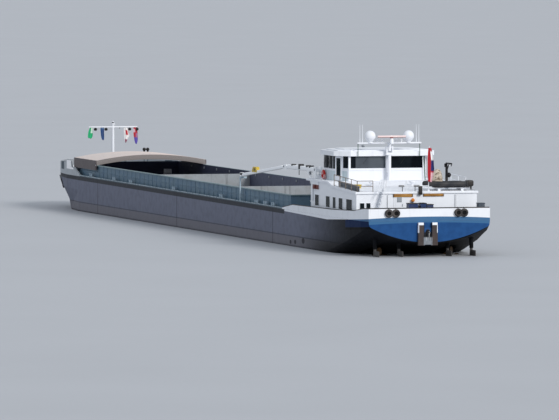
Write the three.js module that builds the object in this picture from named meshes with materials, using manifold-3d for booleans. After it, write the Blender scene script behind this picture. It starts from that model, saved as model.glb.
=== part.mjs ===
// Self-propelled river cargo barge, a 1:10 scale model of a vessel 110 m long and 11.45 m wide.
// Dimensions below are metres of the real vessel; the group's scale turns them into model millimetres.
// s runs forward from the transom, y to port, z up from the flat bottom.
import * as THREE from 'three';
import { mergeVertices } from 'three/addons/utils/BufferGeometryUtils.js';
import Module from 'manifold-3d';

const wasm = await Module();
wasm.setup();

// Driving dimensions, metres on the real vessel
const MM_PER_METRE = 100;
const LENGTH = 110;
const HALF_BEAM = 5.725;
const DECK_Z = 4.0;
const FLOOR_Z = 0.5;
const GAP = 0.003;
const WALL = 0.12;
// The stern anchor's chocks reach furthest aft, so they set the middle of the length
const CHOCK_AFT = -0.25;

const HOLD = { aft: 22.75, fore: 97.05, half: 5.1 };
const COAMING = { height: 1.25, wall: 0.12, flange: 0.25, flangeThick: 0.08 };
const COAMING_TOP = DECK_Z + COAMING.height;
const HOUSE = { aft: 3.5, fore: 16.7, half: 5.2, roofThick: 0.12, overhang: 0.1 };
const ENGINE_WELL = { aft: 8.5, fore: 15.5, half: 4.3, floor: 0.6 };
const COLOURS = {
  hull: 0x2b2c31, white: 0xe9ebee, blue: 0x2a5a94, deckBlue: 0x41545f, coaming: 0x3d4f5c,
  cover: 0xc2bbb2, grey: 0x8b8f95, dark: 0x1b1c20, glass: 0x10151c, bronze: 0xa5804a,
  tyre: 0x17171a, steel: 0x9ca2aa, red: 0xb23a36, green: 0x2fae73, flagBlue: 0x2c5f9c,
  engine: 0x4c6b57,
};

// Shape helpers
const solid = (geometry) => {
  geometry.deleteAttribute('normal');
  geometry.deleteAttribute('uv');
  const merged = mergeVertices(geometry, 1e-4);
  const index = merged.index.array;
  return new wasm.Manifold(new wasm.Mesh({
    numProp: 3,
    vertProperties: new Float32Array(merged.attributes.position.array),
    triVerts: new Uint32Array(index),
  }));
};

const toGeometry = (manifold) => {
  const mesh = manifold.getMesh();
  const geometry = new THREE.BufferGeometry();
  geometry.setAttribute('position', new THREE.BufferAttribute(new Float32Array(mesh.vertProperties), 3));
  geometry.setIndex(new THREE.BufferAttribute(new Uint32Array(mesh.triVerts), 1));
  geometry.computeVertexNormals();
  return geometry;
};

const fuse = (...parts) => parts.flat().reduce((sum, part) => sum.add(part));
const cut = (base, ...tools) => tools.flat().reduce((left, tool) => left.subtract(tool), base);

const box = (s0, s1, y0, y1, z0, z1) => {
  const geometry = new THREE.BoxGeometry(s1 - s0, y1 - y0, z1 - z0);
  geometry.translate((s0 + s1) / 2, (y0 + y1) / 2, (z0 + z1) / 2);
  return solid(geometry);
};

const shapeOf = (points, hole) => {
  const shape = new THREE.Shape(points.map(([a, b]) => new THREE.Vector2(a, b)));
  if (hole) shape.holes.push(new THREE.Path(hole.map(([a, b]) => new THREE.Vector2(a, b))));
  return shape;
};

const extruded = (points, depth, hole) =>
  new THREE.ExtrudeGeometry(shapeOf(points, hole), { depth, bevelEnabled: false });

// An outline of [s, y] points, standing from z0 to z1
const planPrism = (points, z0, z1, hole) => {
  const geometry = extruded(points, z1 - z0, hole);
  geometry.translate(0, 0, z0);
  return solid(geometry);
};

// An outline of [y, z] points, running from s0 to s1
const sectionPrism = (points, s0, s1) => {
  const geometry = extruded(points, s1 - s0);
  geometry.applyMatrix4(new THREE.Matrix4().makeBasis(
    new THREE.Vector3(0, 1, 0), new THREE.Vector3(0, 0, 1), new THREE.Vector3(1, 0, 0)));
  geometry.translate(s0, 0, 0);
  return solid(geometry);
};

// An outline of [s, z] points, running from y0 to y1
const profilePrism = (points, y0, y1) => {
  const geometry = extruded(points, y1 - y0);
  geometry.applyMatrix4(new THREE.Matrix4().makeBasis(
    new THREE.Vector3(1, 0, 0), new THREE.Vector3(0, 0, 1), new THREE.Vector3(0, -1, 0)));
  geometry.translate(0, y1, 0);
  return solid(geometry);
};

// A round bar between two points, its ends cut square
const bar = (from, to, radius, sides = 8, endRadius = radius) => {
  const a = new THREE.Vector3(...from);
  const b = new THREE.Vector3(...to);
  const geometry = new THREE.CylinderGeometry(endRadius, radius, a.distanceTo(b), sides);
  geometry.applyQuaternion(new THREE.Quaternion().setFromUnitVectors(
    new THREE.Vector3(0, 1, 0), b.clone().sub(a).normalize()));
  const middle = a.clone().add(b).multiplyScalar(0.5);
  geometry.translate(middle.x, middle.y, middle.z);
  return solid(geometry);
};

const ball = (s, y, z, radius, segments = 12) => {
  const geometry = new THREE.SphereGeometry(radius, segments, Math.round(segments * 0.7));
  geometry.translate(s, y, z);
  return solid(geometry);
};

// A square bar, used for rails, posts and stringers
const strut = (from, to, width) => {
  const a = new THREE.Vector3(...from);
  const b = new THREE.Vector3(...to);
  const geometry = new THREE.BoxGeometry(width, a.distanceTo(b), width);
  geometry.applyQuaternion(new THREE.Quaternion().setFromUnitVectors(
    new THREE.Vector3(0, 1, 0), b.clone().sub(a).normalize()));
  const middle = a.clone().add(b).multiplyScalar(0.5);
  geometry.translate(middle.x, middle.y, middle.z);
  return solid(geometry);
};

const mirrored = (manifold) => manifold.mirror([0, 1, 0]);

// A convex outline moved inwards by d on every side
const inset = (points, d) => {
  const n = points.length;
  return points.map((point, i) => {
    const before = points[(i + n - 1) % n];
    const after = points[(i + 1) % n];
    const line = ([ax, ay], [bx, by]) => {
      const length = Math.hypot(bx - ax, by - ay);
      const nx = -(by - ay) / length;
      const ny = (bx - ax) / length;
      return [nx, ny, nx * ax + ny * ay + d];
    };
    const [a, b, c] = line(before, point);
    const [e, f, g] = line(point, after);
    const det = a * f - b * e;
    return [(c * f - b * g) / det, (a * g - c * e) / det];
  });
};

// Scene graph
const vessel = new THREE.Group();
vessel.name = 'river_barge';
vessel.scale.setScalar(MM_PER_METRE);
vessel.position.x = -(LENGTH + CHOCK_AFT) / 2 * MM_PER_METRE;

const place = (name, manifold, colour, roughness = 0.6, metalness = 0.1) => {
  const material = new THREE.MeshStandardMaterial({ color: COLOURS[colour], roughness, metalness });
  const mesh = new THREE.Mesh(toGeometry(manifold), material);
  mesh.name = name;
  vessel.add(mesh);
  return mesh;
};

// Hull lines. Columns: station, half breadth of deck, of lower side and of bottom,
// then the heights of the bottom at the middle and at its edge, and of the lower side,
// then how round the bilge is, from 0 for a straight slope to 1 for a quarter ellipse
const HULL_LINES = [
  [0.0, 5.20, 5.15, 3.10, 2.15, 2.62, 3.62, 0.3],
  [1.5, 5.48, 5.42, 3.40, 1.95, 2.32, 3.10, 0.35],
  [4.0, 5.66, 5.60, 3.90, 1.50, 1.72, 2.40, 0.55],
  [8.0, 5.725, 5.70, 4.40, 0.70, 0.80, 1.50, 0.8],
  [12.0, 5.725, 5.725, 4.90, 0.12, 0.15, 0.95, 1],
  [15.0, 5.725, 5.725, 5.00, 0.00, 0.00, 0.75, 1],
  [94.0, 5.725, 5.725, 5.00, 0.00, 0.00, 0.75, 1],
  [99.0, 5.68, 5.20, 4.40, 0.00, 0.00, 0.80, 1],
  [103.0, 5.25, 4.10, 3.00, 0.02, 0.05, 0.95, 1],
  [106.0, 4.40, 2.70, 1.60, 0.20, 0.30, 1.30, 1],
  [108.2, 3.20, 1.75, 0.85, 0.80, 1.00, 2.00, 1],
  [109.4, 2.00, 1.10, 0.50, 1.60, 1.80, 2.70, 1],
  [110.0, 0.90, 0.60, 0.30, 2.60, 2.75, 3.30, 1],
];

const hullSection = ([s, deck, side, bottom, zMiddle, zEdge, zSide, round]) => {
  const bilge = [0.35, 0.7].map((t) => {
    const angle = t * Math.PI / 2;
    const straight = zEdge + (zSide - zEdge) * Math.sin(angle);
    const ellipse = zSide - (zSide - zEdge) * Math.cos(angle);
    return [s, bottom + (side - bottom) * Math.sin(angle), straight + (ellipse - straight) * round];
  });
  const half = [
    [s, bottom * 0.5, zMiddle + (zEdge - zMiddle) * 0.3],
    [s, bottom, zEdge],
    ...bilge,
    [s, side, zSide],
    [s, side + (deck - side) * 0.75, zSide + (DECK_Z - zSide) * 0.6],
    [s, deck, DECK_Z],
  ];
  const starboard = half.map(([a, y, z]) => [a, -y, z]).reverse();
  return [[s, 0, zMiddle], ...half, ...starboard];
};

// Skin through sections that all have the same number of points, closed by flat ends
const loft = (sections) => {
  const count = sections[0].length;
  const positions = sections.flat(2);
  const index = [];
  for (let ring = 0; ring + 1 < sections.length; ring += 1) {
    for (let i = 0; i < count; i += 1) {
      const a = ring * count + i;
      const b = ring * count + (i + 1) % count;
      index.push(a, b, a + count, b, b + count, a + count);
    }
  }
  const last = (sections.length - 1) * count;
  for (let i = 1; i + 1 < count; i += 1) {
    index.push(0, i + 1, i);
    index.push(last, last + i, last + i + 1);
  }
  const geometry = new THREE.BufferGeometry();
  geometry.setAttribute('position', new THREE.Float32BufferAttribute(positions, 3));
  geometry.setIndex(index);
  return solid(geometry);
};

const deckHalfAt = (s) => {
  const i = Math.max(1, HULL_LINES.findIndex(([station]) => station >= s));
  const [s0, y0] = HULL_LINES[i - 1];
  const [s1, y1] = HULL_LINES[i];
  return y0 + (y1 - y0) * (s - s0) / (s1 - s0);
};

// Drive: two shafts in tunnels, with a rudder on either side of each
const SHAFT = { y: 3.1, z: 0.95, propeller: 3.9, tubeAft: 4.5, tubeFore: 12.0, tube: 0.16, radius: 0.09 };
const PROPELLER = { radius: 0.75, hub: 0.15, length: 0.6, blades: 4 };
const TUNNEL = { radius: 0.92, aft: -0.5, fore: 7.2, tip: 11.2, tipRadius: 0.3 };
const RUDDERS = [
  { name: 'rudder_port_outer', y: 4.15 },
  { name: 'rudder_port_inner', y: 2.1 },
  { name: 'rudder_starboard_inner', y: -2.1 },
  { name: 'rudder_starboard_outer', y: -4.15 },
];
const RUDDER = { s: 1.7, ahead: 0.45, astern: 1.15, bottom: 0.2, top: 1.5, thick: 0.16, stock: 0.12 };
const TRUNK = { radius: 0.17, bottom: 1.66, top: 3.0 };

const tunnel = (y) => {
  const profile = [[0, TUNNEL.aft], [TUNNEL.radius, TUNNEL.aft], [TUNNEL.radius, TUNNEL.fore],
    [TUNNEL.tipRadius, TUNNEL.tip], [0, TUNNEL.tip]];
  const geometry = new THREE.LatheGeometry(profile.map(([r, h]) => new THREE.Vector2(r, h)), 16);
  geometry.rotateZ(-Math.PI / 2);
  geometry.translate(0, y, SHAFT.z);
  return solid(geometry);
};

const hullBody = loft(HULL_LINES.map(hullSection));
const buildHull = () => {
  const hold = box(HOLD.aft, HOLD.fore, -HOLD.half, HOLD.half, FLOOR_Z, DECK_Z + 1);
  const well = box(ENGINE_WELL.aft, ENGINE_WELL.fore, -ENGINE_WELL.half, ENGINE_WELL.half,
    ENGINE_WELL.floor, DECK_Z + 1);
  const wellRoom = box(ENGINE_WELL.aft, ENGINE_WELL.fore, -ENGINE_WELL.half, ENGINE_WELL.half,
    TUNNEL.radius + SHAFT.z + 0.2, DECK_Z + 1);
  const tunnels = [SHAFT.y, -SHAFT.y].map(tunnel);
  const tubes = [SHAFT.y, -SHAFT.y].map((y) =>
    bar([SHAFT.tubeAft, y, SHAFT.z], [SHAFT.tubeFore, y, SHAFT.z], SHAFT.tube, 12));
  const trunks = RUDDERS.map(({ y }) =>
    bar([RUDDER.s, y, TRUNK.bottom], [RUDDER.s, y, TRUNK.top], TRUNK.radius, 12));
  const shell = cut(hullBody, tunnels);
  return cut(fuse(shell, tubes, trunks), hold, wellRoom, cut(well, box(0, 12.5, -6, 6, 0, 3)));
};
place('hull', buildHull(), 'hull');

for (const [side, sign] of [['port', 1], ['starboard', -1]]) {
  const engine = fuse(
    box(12.8, 15.0, sign * 2.1 - 0.55, sign * 2.1 + 0.55, ENGINE_WELL.floor + GAP, 2.1),
    box(12.6, 13.0, sign * 2.1 - 0.35, sign * 2.1 + 0.35, ENGINE_WELL.floor + GAP, 1.6));
  place(`engine_${side}`, engine, 'engine');
  const blades = Array.from({ length: PROPELLER.blades }, (_, i) => {
    const geometry = new THREE.BoxGeometry(0.07, 0.48, PROPELLER.radius);
    geometry.translate(0, 0, PROPELLER.radius / 2);
    geometry.rotateZ(sign * 0.55);
    geometry.rotateX(i * 2 * Math.PI / PROPELLER.blades);
    geometry.translate(SHAFT.propeller, sign * SHAFT.y, SHAFT.z);
    return solid(geometry);
  });
  const disc = bar([SHAFT.propeller - 0.4, sign * SHAFT.y, SHAFT.z],
    [SHAFT.propeller + 0.4, sign * SHAFT.y, SHAFT.z], PROPELLER.radius, 24);
  const hub = bar([SHAFT.propeller - PROPELLER.length / 2, sign * SHAFT.y, SHAFT.z],
    [SHAFT.propeller + PROPELLER.length / 2, sign * SHAFT.y, SHAFT.z], PROPELLER.hub * 0.6, 12, PROPELLER.hub);
  const shaft = bar([SHAFT.propeller, sign * SHAFT.y, SHAFT.z],
    [SHAFT.tubeAft - GAP, sign * SHAFT.y, SHAFT.z], SHAFT.radius, 12);
  place(`propeller_${side}`, fuse(fuse(blades).intersect(disc), hub, shaft), 'bronze', 0.35, 0.8);
}

for (const { name, y } of RUDDERS) {
  const half = RUDDER.thick / 2;
  const foil = [[RUDDER.s + RUDDER.ahead, y], [RUDDER.s + 0.2, y + half], [RUDDER.s - 0.3, y + half * 0.8],
    [RUDDER.s - RUDDER.astern, y + 0.02], [RUDDER.s - RUDDER.astern, y - 0.02],
    [RUDDER.s - 0.3, y - half * 0.8], [RUDDER.s + 0.2, y - half]];
  const stock = bar([RUDDER.s, y, RUDDER.top - 0.1], [RUDDER.s, y, TRUNK.bottom - GAP], RUDDER.stock, 12);
  place(name, fuse(planPrism(foil, RUDDER.bottom, RUDDER.top), stock), 'grey');
}

// Hold: one coaming round it, two cross bulkheads and the stacked arched covers
const ringOutline = (aft, fore, half) => [[aft, -half], [fore, -half], [fore, half], [aft, half]];
const coamingWall = planPrism(
  ringOutline(HOLD.aft - COAMING.wall, HOLD.fore + COAMING.wall, HOLD.half + COAMING.wall),
  DECK_Z + GAP, COAMING_TOP, ringOutline(HOLD.aft, HOLD.fore, HOLD.half));
const coamingFlange = planPrism(
  ringOutline(HOLD.aft - COAMING.flange, HOLD.fore + COAMING.flange, HOLD.half + COAMING.flange),
  COAMING_TOP - COAMING.flangeThick, COAMING_TOP, ringOutline(HOLD.aft, HOLD.fore, HOLD.half));

const BULKHEADS = [
  { name: 'hold_bulkhead_aft', s: 39.5, top: 5.25 },
  { name: 'hold_bulkhead_fore', s: 71.9, top: 5.0 },
];
for (const { name, s, top } of BULKHEADS) {
  place(name, box(s - 0.15, s + 0.15, -HOLD.half + GAP, HOLD.half - GAP, FLOOR_Z + GAP, top), 'grey');
}

const COVERS = { aft: 88.2, fore: 96.8, half: 5.425, camber: 0.55, thick: 0.15, count: 3, steps: 12,
  setback: 0.06, skirt: 0.025, skirtFoot: 4.78, nest: 0.03,
  seat: 0.01 };
const archPoints = (half, z0, z1) => {
  const arc = (z) => Array.from({ length: COVERS.steps + 1 }, (_, i) => {
    const y = half * (2 * i / COVERS.steps - 1);
    return [y, z + COVERS.camber * (1 - (y / half) ** 2)];
  });
  return [...arc(z0), ...arc(z1).reverse()];
};
// Each cover's skirts hang outside the coaming and outside the skirts of the cover under it
for (let k = 0; k < COVERS.count; k += 1) {
  const half = COVERS.half + k * COVERS.nest;
  const z0 = COAMING_TOP + GAP - COVERS.seat + k * COVERS.thick;
  const aft = COVERS.aft + k * COVERS.setback;
  const fore = COVERS.fore - k * COVERS.setback;
  const skirts = [1, -1].map((sign) => box(aft, fore, sign * half - (sign > 0 ? COVERS.skirt : 0),
    sign * half + (sign > 0 ? 0 : COVERS.skirt), COVERS.skirtFoot, z0 + COVERS.thick / 2));
  const slab = sectionPrism(archPoints(half, z0, z0 + COVERS.thick - GAP), aft, fore);
  place(`hatch_cover_${k + 1}`, fuse(slab, skirts), 'cover');
}

place('hold_coaming', fuse(coamingWall, coamingFlange), 'coaming');

// Boom rest: a post on the port side deck, its arm reaching in under the jib, clear of the covers
const CRANE = { s: 19.2, y: 3.85, pivot: 7.5, boom: 7.5, jib: 11.0, droop: 6.0, heading: 4.66, bearing: 4.8 };
const REST = { along: 0.96, aft: 0.1, post: [5.545, 5.63], drop: 0.32, thick: 0.15 };
const heading = THREE.MathUtils.degToRad(CRANE.heading);
const droop = THREE.MathUtils.degToRad(CRANE.droop);
const restReach = CRANE.boom + CRANE.jib * REST.along;
const restS = CRANE.s + restReach * Math.cos(heading);
const restY = CRANE.y + restReach * Math.sin(heading);
const restZ = CRANE.pivot - CRANE.jib * REST.along * Math.tan(droop);
const boomRest = fuse(
  box(restS - REST.aft, restS + REST.aft, restY - 0.3, REST.post[1],
    restZ - REST.drop, restZ - REST.drop + REST.thick),
  box(restS - 0.07, restS + 0.07, ...REST.post, DECK_Z + 0.02, restZ - REST.drop + 0.05));

// Side decks with their low outer rails and double bollards
const SIDE_DECK = { inner: 5.4, thick: 0.05, rail: 0.14, aft: 23.6 + GAP, fore: 93.5 };
const BOLLARD_STATIONS = [27.0, 29.4, 32.2, 43.6, 59.6, 74.9, 81.1, 89.8];
for (const [side, sign] of [['port', 1], ['starboard', -1]]) {
  const outer = HALF_BEAM - 0.02;
  const plate = box(SIDE_DECK.aft, SIDE_DECK.fore, SIDE_DECK.inner, outer,
    DECK_Z + GAP, DECK_Z + SIDE_DECK.thick);
  const rail = box(SIDE_DECK.aft, SIDE_DECK.fore, outer - 0.06, outer, DECK_Z + GAP, DECK_Z + SIDE_DECK.rail);
  const bollards = BOLLARD_STATIONS.flatMap((s) => [s - 0.3, s + 0.3].map((at) =>
    bar([at, 5.53, DECK_Z + 0.02], [at, 5.53, DECK_Z + 0.4], 0.1, 10)));
  const deck = fuse(plate, rail, bollards);
  place(`side_deck_${side}`, sign > 0 ? fuse(deck, boomRest) : mirrored(deck), 'deckBlue');
}

// Bulwarks stand on the deck's edge: an outer skin less the same outline moved in
const edgePoints = (stations) => {
  const port = stations.map((s) => [s, deckHalfAt(s)]);
  return [...port.map(([s, y]) => [s, -y]), ...port.reverse()];
};
const BULWARK = { thick: 0.12 };
const sternStations = [0.02, 1.5, 4.0, 8.0, 23.6];
const sternOuter = edgePoints(sternStations);
const sternInner = edgePoints([0.02, 1.5, 4.0, 8.0, 24.6]).map(([s, y]) =>
  [s === 0.02 ? 0.02 + BULWARK.thick : s, Math.sign(y) * (Math.abs(y) - BULWARK.thick)]);
const sternProfile = [[-1, DECK_Z + GAP], [23.6, DECK_Z + GAP], [23.6, DECK_Z + 0.12], [20.5, 4.48],
  [9, 4.6], [3, 4.75], [0.9, 5.0], [-1, 5.05]];
const sternBulwark = cut(planPrism(sternOuter, DECK_Z, 6), planPrism(sternInner, DECK_Z - 1, 7))
  .intersect(profilePrism(sternProfile, -7, 7));
place('stern_bulwark', sternBulwark, 'white');

const bowStations = [93.6, 94.0, 99.0, 103.0, 106.0, 108.2, 109.4, 110.0];
const bowOuter = edgePoints(bowStations);
const bowInner = edgePoints([92.0, 94.0, 99.0, 103.0, 106.0, 108.2, 109.4]).map(([s, y]) =>
  [s, Math.sign(y) * (Math.abs(y) - BULWARK.thick * 1.5)]);
const bowProfile = [[93.6, DECK_Z + GAP], [111, DECK_Z + GAP], [111, 4.96], [104, 5.08], [99.4, 5.2],
  [98.9, 5.4], [97.3, 5.4], [96.9, 4.75], [95.6, 4.7], [93.6, DECK_Z + 0.14]];
const bowBulwark = cut(planPrism(bowOuter, DECK_Z, 6), planPrism(bowInner, DECK_Z - 1, 7))
  .intersect(profilePrism(bowProfile, -7, 7));
place('bow_bulwark', bowBulwark, 'white');

// Foredeck: anchor windlass, mast step, companion house, ventilators
const FOREMAST = { s: 102.8, pivot: 4.95, top: 9.0, yard: 8.43, halfYard: 2.45, radius: 0.11 };
const VENTS = [[98.6, -2.05], [98.6, -2.4]];
const foredeckFittings = fuse(
  box(97.6, 103.6, -3.8, 3.8, DECK_Z + GAP, DECK_Z + 0.05),
  box(98.0, 100.6, -1.6, 1.6, DECK_Z + GAP, 4.6),
  box(98.3, 98.9, -2.7, -1.75, DECK_Z + GAP, 4.2),
  VENTS.map(([s, y]) => bar([s, y, 4.1], [s, y, 6.25], 0.06)),
  VENTS.map(([s, y]) => ball(s, y, 6.36, 0.16, 10)),
  box(FOREMAST.s - 0.5, FOREMAST.s + 0.5, -0.42, 0.42, DECK_Z + GAP, 4.3),
  box(FOREMAST.s - 0.2, FOREMAST.s + 0.2, -0.42, -0.22, 4.2, 5.15),
  box(FOREMAST.s - 0.2, FOREMAST.s + 0.2, 0.22, 0.42, 4.2, 5.15));
place('foredeck_fittings', foredeckFittings, 'white');

const windlass = fuse(
  box(104.6, 106.4, -2.0, 2.0, DECK_Z + GAP, 4.25),
  [-1.35, 1.35].map((y) => bar([105.5, y - 0.5, 4.75], [105.5, y + 0.5, 4.75], 0.42, 14)),
  bar([105.5, -1.95, 4.75], [105.5, 1.95, 4.75], 0.12, 10),
  [-1.95, -0.6, 0.6, 1.95].map((y) => box(105.2, 105.8, y - 0.08, y + 0.08, 4.2, 5.0)),
  box(104.9, 106.1, -0.5, 0.5, 4.2, 5.2));
place('anchor_windlass', windlass, 'deckBlue');

// Foremast, hinged at its step, with its yard and lamps
const foremast = fuse(
  bar([FOREMAST.s, 0, FOREMAST.pivot - 0.2], [FOREMAST.s, 0, FOREMAST.top], FOREMAST.radius, 10, 0.07),
  box(FOREMAST.s - 0.13, FOREMAST.s + 0.13, GAP - 0.22, 0.22 - GAP,
    FOREMAST.pivot - 0.3, FOREMAST.pivot + 0.35),
  strut([FOREMAST.s, -FOREMAST.halfYard, FOREMAST.yard],
    [FOREMAST.s, FOREMAST.halfYard, FOREMAST.yard], 0.11),
  [-1.75, -0.7, 0.7, 1.75].map((y) =>
    box(FOREMAST.s - 0.1, FOREMAST.s + 0.1, y - 0.09, y + 0.09, FOREMAST.yard - 0.26, FOREMAST.yard)),
  bar([FOREMAST.s, 0, 8.6], [FOREMAST.s, 0, 8.85], 0.17, 10));
place('foremast', foremast, 'white');

// Flags hang from the yard in soft folds. Columns: name, y, width, drop, colour
const FLAGS = [
  ['flag_green', 2.2, 0.42, 0.9, 'green'],
  ['flag_blue', 1.13, 0.34, 1.05, 'flagBlue'],
  ['flag_white', -1.42, 0.42, 1.1, 'white'],
  ['flag_red', -2.25, 0.34, 1.4, 'red'],
];
for (const [name, y, width, drop, colour] of FLAGS) {
  const top = FOREMAST.yard - 0.055 - GAP;
  const folds = box(FOREMAST.s - 0.09, FOREMAST.s + 0.09, y - width / 2, y + width / 2, top - drop, top);
  place(name, folds, colour, 0.9, 0);
}

// Bow anchors, hauled up against the bow and shaped to it
const bowAnchor = (sign) => {
  const at = [104.6, 4.62, 3.0];
  const crown = box(at[0] - 0.6, at[0] + 0.6, -0.12, 0.12, -0.55, -0.25);
  const shank = box(at[0] - 0.1, at[0] + 0.1, -0.1, 0.1, -0.4, 0.75);
  const flukes = [-0.5, 0.5].map((d) => box(at[0] + d - 0.12, at[0] + d + 0.12, -0.1, 0.1, -0.4, 0.35));
  const anchor = fuse(crown, shank, flukes).translate([-at[0], 0, 0]).rotate([-18, 0, -15.5]).translate(at);
  return cut(sign > 0 ? anchor : mirrored(anchor), hullBody.translate([0, sign * GAP, 0]));
};
place('bow_anchor_port', bowAnchor(1), 'dark');
place('bow_anchor_starboard', bowAnchor(-1), 'dark');

// Stern: anchor between two chocks on the transom, tyres over the bulwark, a winch on deck
const CHOCK = { y: 0.2, apart: 0.57, foot: 0.27, head: 0.24, bottom: 2.02, top: 3.88 };
const chocks = [1, -1].map((sign) => {
  const y = CHOCK.y + sign * CHOCK.apart;
  return sectionPrism([[y - CHOCK.foot, CHOCK.bottom], [y + CHOCK.foot, CHOCK.bottom],
    [y + CHOCK.head, CHOCK.top], [y - CHOCK.head, CHOCK.top]], CHOCK_AFT, -GAP);
});
const sternAnchor = fuse(chocks,
  box(-0.09, -GAP, -0.35, 0.35, CHOCK.bottom, 3.45).translate([0, CHOCK.y, 0]),
  box(-0.23, -0.05, -0.3, 0.3, 2.08, 2.4).translate([0, CHOCK.y, 0]),
  box(-0.2, -0.08, -0.08, 0.08, 2.3, 3.3).translate([0, CHOCK.y, 0]),
  [-0.22, 0.22].map((y) => box(-0.21, -0.08, y - 0.07, y + 0.07, 2.3, 2.9).translate([0, CHOCK.y, 0])));
place('stern_anchor', sternAnchor, 'steel');

const TYRE = { ring: 0.235, tube: 0.105, s: -0.09, z: 4.66 };
const tyreAt = (y) => {
  const geometry = new THREE.TorusGeometry(TYRE.ring, TYRE.tube, 8, 18);
  geometry.rotateY(Math.PI / 2);
  geometry.translate(TYRE.s, y, TYRE.z);
  return solid(geometry);
};
for (const [side, first, second] of [['port', 2.9, 3.5], ['starboard', -2.45, -2.95]]) {
  const middle = (first + second) / 2;
  const lashing = box(TYRE.s - 0.04, TYRE.s + 0.04, middle - 0.1, middle + 0.1, TYRE.z - 0.04, TYRE.z + 0.04);
  place(`tyres_${side}`, fuse(tyreAt(first), tyreAt(second), lashing), 'tyre', 0.9, 0);
}

const sternWinch = fuse(
  box(0.6, 1.3, 0.8, 1.58, DECK_Z + GAP, 5.4),
  box(0.6, 1.3, 0.08, 0.56, DECK_Z + GAP, 5.41),
  box(0.6, 1.3, -0.52, 0.0, DECK_Z + GAP, 5.3),
  box(0.7, 1.2, -0.4, 1.2, DECK_Z + GAP, 4.6));
place('stern_winch', sternWinch, 'blue');

// Deckhouse: walls with windows and doorways, under a roof that drops a step aft
const ROOF_LINE = [[3.4, 6.22], [10.3, 6.5], [11.5, 6.8], [17.8, 6.8]];
const roofAt = (s) => {
  const i = Math.max(1, ROOF_LINE.findIndex(([at]) => at >= s));
  const [s0, z0] = ROOF_LINE[i - 1];
  const [s1, z1] = ROOF_LINE[i];
  return z0 + (z1 - z0) * (s - s0) / (s1 - s0);
};
// Columns: start and end station, lower and upper edge
const SIDE_WINDOWS = [[4.7, 6.3], [7.4, 8.5], [9.4, 10.2], [11.1, 12.2], [14.3, 15.4]];
const SIDE_WINDOW_Z = [4.68, 5.58];
const AFT_DOOR = { y0: 1.15, y1: 1.87, z0: 4.25, z1: 6.0 };
const FORE_DOOR = { y0: -1.86, y1: -1.14, z0: 4.25, z1: 6.1 };
const AFT_WINDOWS = [[4.52, 4.9], [4.0, 4.35]];
const underRoof = (s) => [s, roofAt(s) - HOUSE.roofThick - GAP];
const wallProfile = [[HOUSE.aft, DECK_Z + GAP], [HOUSE.fore, DECK_Z + GAP],
  ...[HOUSE.fore, 11.5, 10.3, HOUSE.aft].map(underRoof)];
const houseWalls = cut(
  profilePrism(wallProfile, -HOUSE.half, HOUSE.half),
  box(HOUSE.aft + WALL, HOUSE.fore - WALL, -HOUSE.half + WALL, HOUSE.half - WALL, 3, 8),
  SIDE_WINDOWS.flatMap(([s0, s1]) => [1, -1].map((sign) =>
    box(s0, s1, sign * HOUSE.half - 0.4, sign * HOUSE.half + 0.4, ...SIDE_WINDOW_Z))),
  AFT_WINDOWS.map(([y0, y1]) => box(HOUSE.aft - 1, HOUSE.aft + 0.5, y0, y1, 4.85, 5.35)),
  box(HOUSE.fore - 0.5, HOUSE.fore + 1, -3.4, -2.2, 5.0, 5.8),
  box(HOUSE.fore - 0.5, HOUSE.fore + 1, 0.4, 1.6, 5.0, 5.8),
  box(HOUSE.aft - 1, HOUSE.aft + 0.5, AFT_DOOR.y0, AFT_DOOR.y1, AFT_DOOR.z0, AFT_DOOR.z1),
  box(HOUSE.fore - 0.5, HOUSE.fore + 1, FORE_DOOR.y0, FORE_DOOR.y1, FORE_DOOR.z0, FORE_DOOR.z1));
place('deckhouse_walls', houseWalls, 'white');

const roofProfile = [...ROOF_LINE, ...ROOF_LINE.map(([s, z]) => [s, z - HOUSE.roofThick]).reverse()];
const DAVIT = { s: 6.4, y: -3.5, top: 8.42 };
const DINGHY = { s0: 4.2, s1: 5.7, y0: -5.0, y1: -0.9, cradle: 6.42 };
const roof = fuse(
  profilePrism(roofProfile, -HOUSE.half - HOUSE.overhang, HOUSE.half + HOUSE.overhang),
  [-4.2, -2.2].map((y) => box(4.3, 5.6, y - 0.1, y + 0.1, 6.2, DINGHY.cradle)),
  bar([DAVIT.s, DAVIT.y, 6.2], [DAVIT.s, DAVIT.y, 6.9], 0.16, 12),
  [1, -1].map((sign) => box(14.3, 16.1, sign * 5.24 - 0.04, sign * 5.24 + 0.04, 6.05, 6.75)),
  [1, -1].map((sign) => box(15.0, 15.5, sign * 5.24 - 0.16, sign * 5.24 + 0.16, 6.1, 6.4)));
place('deckhouse_roof', cut(roof, box(14, 16.2, -5.2 - GAP, 5.2 + GAP, 6.0, 6.68)), 'white');

const aftDoor = box(HOUSE.aft - 0.02, HOUSE.aft + 0.04, AFT_DOOR.y0 + 0.01, AFT_DOOR.y1 - GAP,
  AFT_DOOR.z0 + 0.01, AFT_DOOR.z1 - 0.01);
place('deckhouse_door_aft', aftDoor, 'white');
const foreDoor = box(HOUSE.fore - 0.04, HOUSE.fore + 0.02, FORE_DOOR.y0 + GAP, FORE_DOOR.y1 - 0.01,
  FORE_DOOR.z0 + 0.01, FORE_DOOR.z1 - 0.01);
place('deckhouse_door_fore', foreDoor, 'white');

// What stands on the sloping roof is cut to its surface
const aboveRoof = (manifold) => cut(manifold, profilePrism(
  [[3.4, 5.5], [17.8, 5.5], ...ROOF_LINE.map(([s, z]) => [s, z + GAP]).reverse()], -6, 6));

// Wheelhouse: an eight sided room, its outline run clockwise seen from below
const CABIN = { floor: 6.8, sill: 7.88, head: 8.85, top: 8.9, wall: 0.1, glass: 0.04 };
const CABIN_OUTLINE = [[12.0, -3.3], [13.9, -4.1], [16.6, -4.1], [17.4, -2.3],
  [17.4, 2.3], [16.6, 4.1], [13.9, 4.1], [12.0, 3.3]];
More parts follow.
